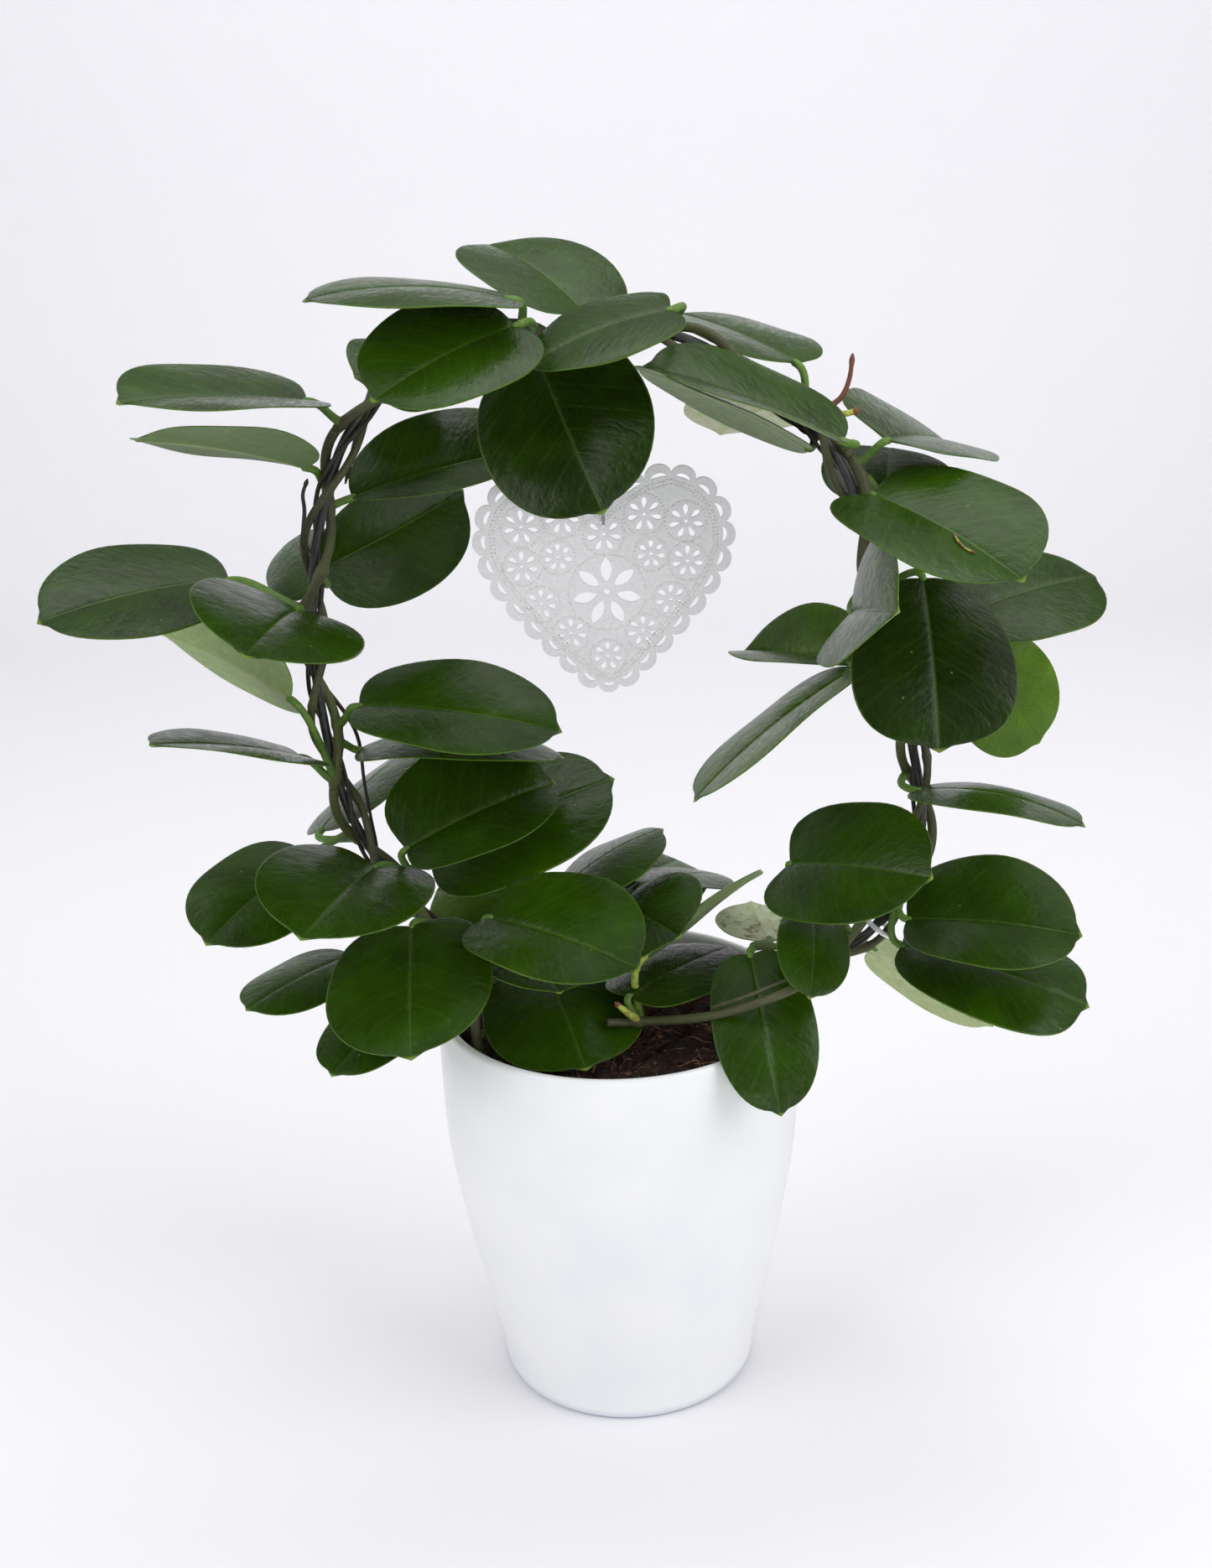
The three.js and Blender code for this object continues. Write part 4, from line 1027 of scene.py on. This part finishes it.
def makeHeart():
    feet = [(-x, z) for x, z in heart["feet"]][:0:-1] + heart["feet"]
    pairs = list(zip(feet, feet[1:] + feet[:1]))
    loops = [[p for a, b in pairs for p in scallop(a, b)]]
    loops += [scallopSlit(a, b) for a, b in pairs]
    centres = []
    for x, z, reach in heart["flowers"]:
        for side in ((1,) if x == 0 else (1, -1)):
            loops += flowerHoles((side * x, z), reach, *heart["petal"])
            centres.append((side * x, z, reach))
    x, z, reach = heart["middle"]
    loops += flowerHoles((x, z), reach, *heart["middlePetal"], pointed=True)
    centres.append((x, z, reach))
    curve = bpy.data.curves.new("heartOutline", "CURVE")
    curve.dimensions = "2D"
    curve.fill_mode = "BOTH"
    curve.extrude = (heart["thickness"] / 2 - heart["edge"]) * mm
    curve.bevel_depth = heart["edge"] * mm
    curve.bevel_resolution = 1
    curve.offset = -heart["edge"] * mm
    for loop in loops:
        spline = curve.splines.new("POLY")
        spline.points.add(len(loop) - 1)
        spline.points.foreach_set("co", [v for p in loop for v in (p[0] * mm, p[1] * mm, 0, 1)])
        spline.use_cyclic_u = True
    cut = newObject("heartOutline", curve)
    mesh = bpy.data.meshes.new_from_object(cut.evaluated_get(bpy.context.evaluated_depsgraph_get()))
    bpy.data.objects.remove(cut)
    px, py, pz = (v * mm for v in heart["place"])
    mesh.transform(Matrix.Translation((px, py, pz)) @ Matrix.Rotation(math.pi / 2, 4, "X"))
    mesh.materials.clear()
    mesh.materials.append(heartPaint)
    plate = newObject("heartPlate", mesh)
    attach(plate, "root")
    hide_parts("heart")

    rows = [beadPlaces(list(insetLine(feet, d))) for d in heart["beadRows"]]
    for cx, cz, reach in centres:
        around = reach + heart["beadRing"]
        count = int(2 * math.pi * around / heart["beadSpacing"])
        rows.append([flat((cx, cz)) + p for p in circlePoints(around, count)])
    beads = newShell()
    for row in rows:
        for p in row:
            x, z = p[0] + heart["place"][0], p[1] + heart["place"][2]
            for face in (-1, 1):  # pressed out on both sides
                base = heart["place"][1] + face * heart["thickness"] / 2
                foot = base - face * heart["beadSunk"]
                ring = [(x + dx, foot, z + dz) for dx, dz in circlePoints(heart["bead"], 6)]
                first = addPoints(beads, ring + [(x, base + face * heart["beadHeight"], z)])
                faces = fan(first + 6, first, 6) + [tuple(range(first + 5, first - 1, -1))]
                addFaces(beads, [tuple(reversed(f)) if face > 0 else f for f in faces])
    placePiece("heartBeads", beads, [beadHighlightPaint], None)


makeHeart()
print("heart made")

# ---- hanger wire and ties
hanger = {"radius": 0.5, "at": 0.494}
tie = {"clear": 1.1, "thick": 0.55, "wide": 1.0, "places": {"tie_left": 0.085, "tie_right": 0.868}}


def makeHanger():
    x, y, z = heart["place"]
    over = twining["reach"] + twining["leafy"] + hanger["radius"] + twining["gap"]
    crown = placeAt(hoopCurve, hanger["at"])
    turns = [(-0.15 + 1.15 * i / 6) * math.pi for i in range(7)]
    hook = [(x, -over * math.cos(t), crown[2] + over * math.sin(t)) for t in turns]
    slit = z + heart["flowers"][0][1] + heart["flowers"][0][2] - 2.4
    eye = [(x, y + 4, slit + 5), (x, y + 3, slit + 1), (x, y, slit), (x, y - 3, slit + 1), (x, y - 3.4, slit + 4)]
    shell = newShell()
    addTube(shell, smoothLine(hook + eye, 8), hanger["radius"], 10, 0, 0.0, (0.6, 0.6))
    placePiece("hangerWire", shell, [steelWire], "heart_hanger")


def makeTie(node, at):
    centre = placeAt(hoopCurve, at)
    ahead = unit(placeAt(hoopCurve, at + 0.001) - placeAt(hoopCurve, at - 0.001))
    flatSide = unit(np.cross(ahead, (0, 1, 0)))
    radius = twining["reach"] + twining["leafy"] + tie["clear"]
    shell = newShell()
    starts = []
    for a in circleTurns(40):
        out = flatSide * math.cos(a) + np.array((0, 1, 0)) * math.sin(a)
        ring = [
            centre + out * (radius + tie["thick"] * math.cos(b)) + ahead * (tie["wide"] * math.sin(b))
            for b in circleTurns(10)
        ]
        starts.append(addPoints(shell, ring))
    for a, b in zip(starts, starts[1:] + starts[:1]):
        addFaces(shell, turned(band(a, b, 10)))
    placePiece(node.replace("_", ""), shell, [tiePlastic], node)


makeHanger()
for node, at in tie["places"].items():
    makeTie(node, at)
print("hanger and ties made")

# ---- room: pale floor that curves up into the backdrop, soft daylight
room = {"colour": "#f4f3f7", "near": 3.0, "far": 1.6, "high": 1.0, "bend": 0.45}  # metres


def makeRoom():
    board = newMaterial("paintedBoard", Roughness=0.7, Base_Color=hexColour(room["colour"]))[0]  # matt emulsion
    shell = newShell()
    profile = [(-room["near"], 0), (-1, 0), (0.4, 0)]
    for k in range(13):
        a = math.pi / 2 * k / 12
        profile.append((room["far"] - room["bend"] + room["bend"] * math.sin(a), room["bend"] * (1 - math.cos(a))))
    profile.append((room["far"], room["high"]))
    across = np.linspace(-room["near"], room["near"], 7)
    rows = [addPoints(shell, [(x, y, z) for x in across]) for y, z in profile]
    for a, b in zip(rows, rows[1:]):
        addFaces(shell, [(a + k, a + k + 1, b + k + 1, b + k) for k in range(6)])
    mesh = bpy.data.meshes.new("floor")
    mesh.from_pydata(shell["points"], [], shell["faces"])
    mesh.polygons.foreach_set("use_smooth", [True] * len(shell["faces"]))
    mesh.materials.append(board)
    newObject("floor", mesh)


lamps = {  # place, what it is aimed at, size, in metres, and watts
    "softboxAbove": ((0.15, 0.1, 1.95), (0, 0, 0.3), (2.4, 2.0), 14),
    "softboxRight": ((1.5, -0.8, 1.2), (0, 0, 0.15), (1.4, 1.5), 19),
    "softboxLeft": ((-1.5, -0.9, 1.2), (0, 0, 0.15), (1.4, 1.5), 18),
    "softboxFront": ((0.25, -1.9, 0.75), (0, 0, 0.15), (1.3, 0.7), 7),
    "backdropGlow": ((0, 0.4, 1.7), (0, 0.9, 0), (2.4, 0.6), 8),
}


def makeLight(name, place, aim, size, power):
    data = bpy.data.lights.new(name, "AREA")
    data.shape = "RECTANGLE"
    data.size, data.size_y = size
    data.energy = power
    lamp = newObject(name, data)
    lamp.location = place
    lamp.rotation_euler = (Vector(aim) - Vector(place)).to_track_quat("-Z", "Y").to_euler()


makeRoom()
for name, settings in lamps.items():
    makeLight(name, *settings)
world = bpy.data.worlds.new("softRoom")
bpy.context.scene.world = world
world.use_nodes = True
sky = world.node_tree
heading = addNode(sky, "TexCoord")
parts = addNode(sky, "SeparateXYZ", None, {0: (heading, "Generated")})
# the world is dim at the front of the room and bright behind the plant
glow = addNode(sky, "MapRange", {1: -0.5, 2: 0.6, 3: 0.12, 4: 0.34}, {0: (parts, "Y")})
sky.links.new(glow.outputs[0], sky.nodes["Background"].inputs["Strength"])
sky.nodes["Background"].inputs["Color"].default_value = hexColour("#f6f5f8")
print("room and lights made")
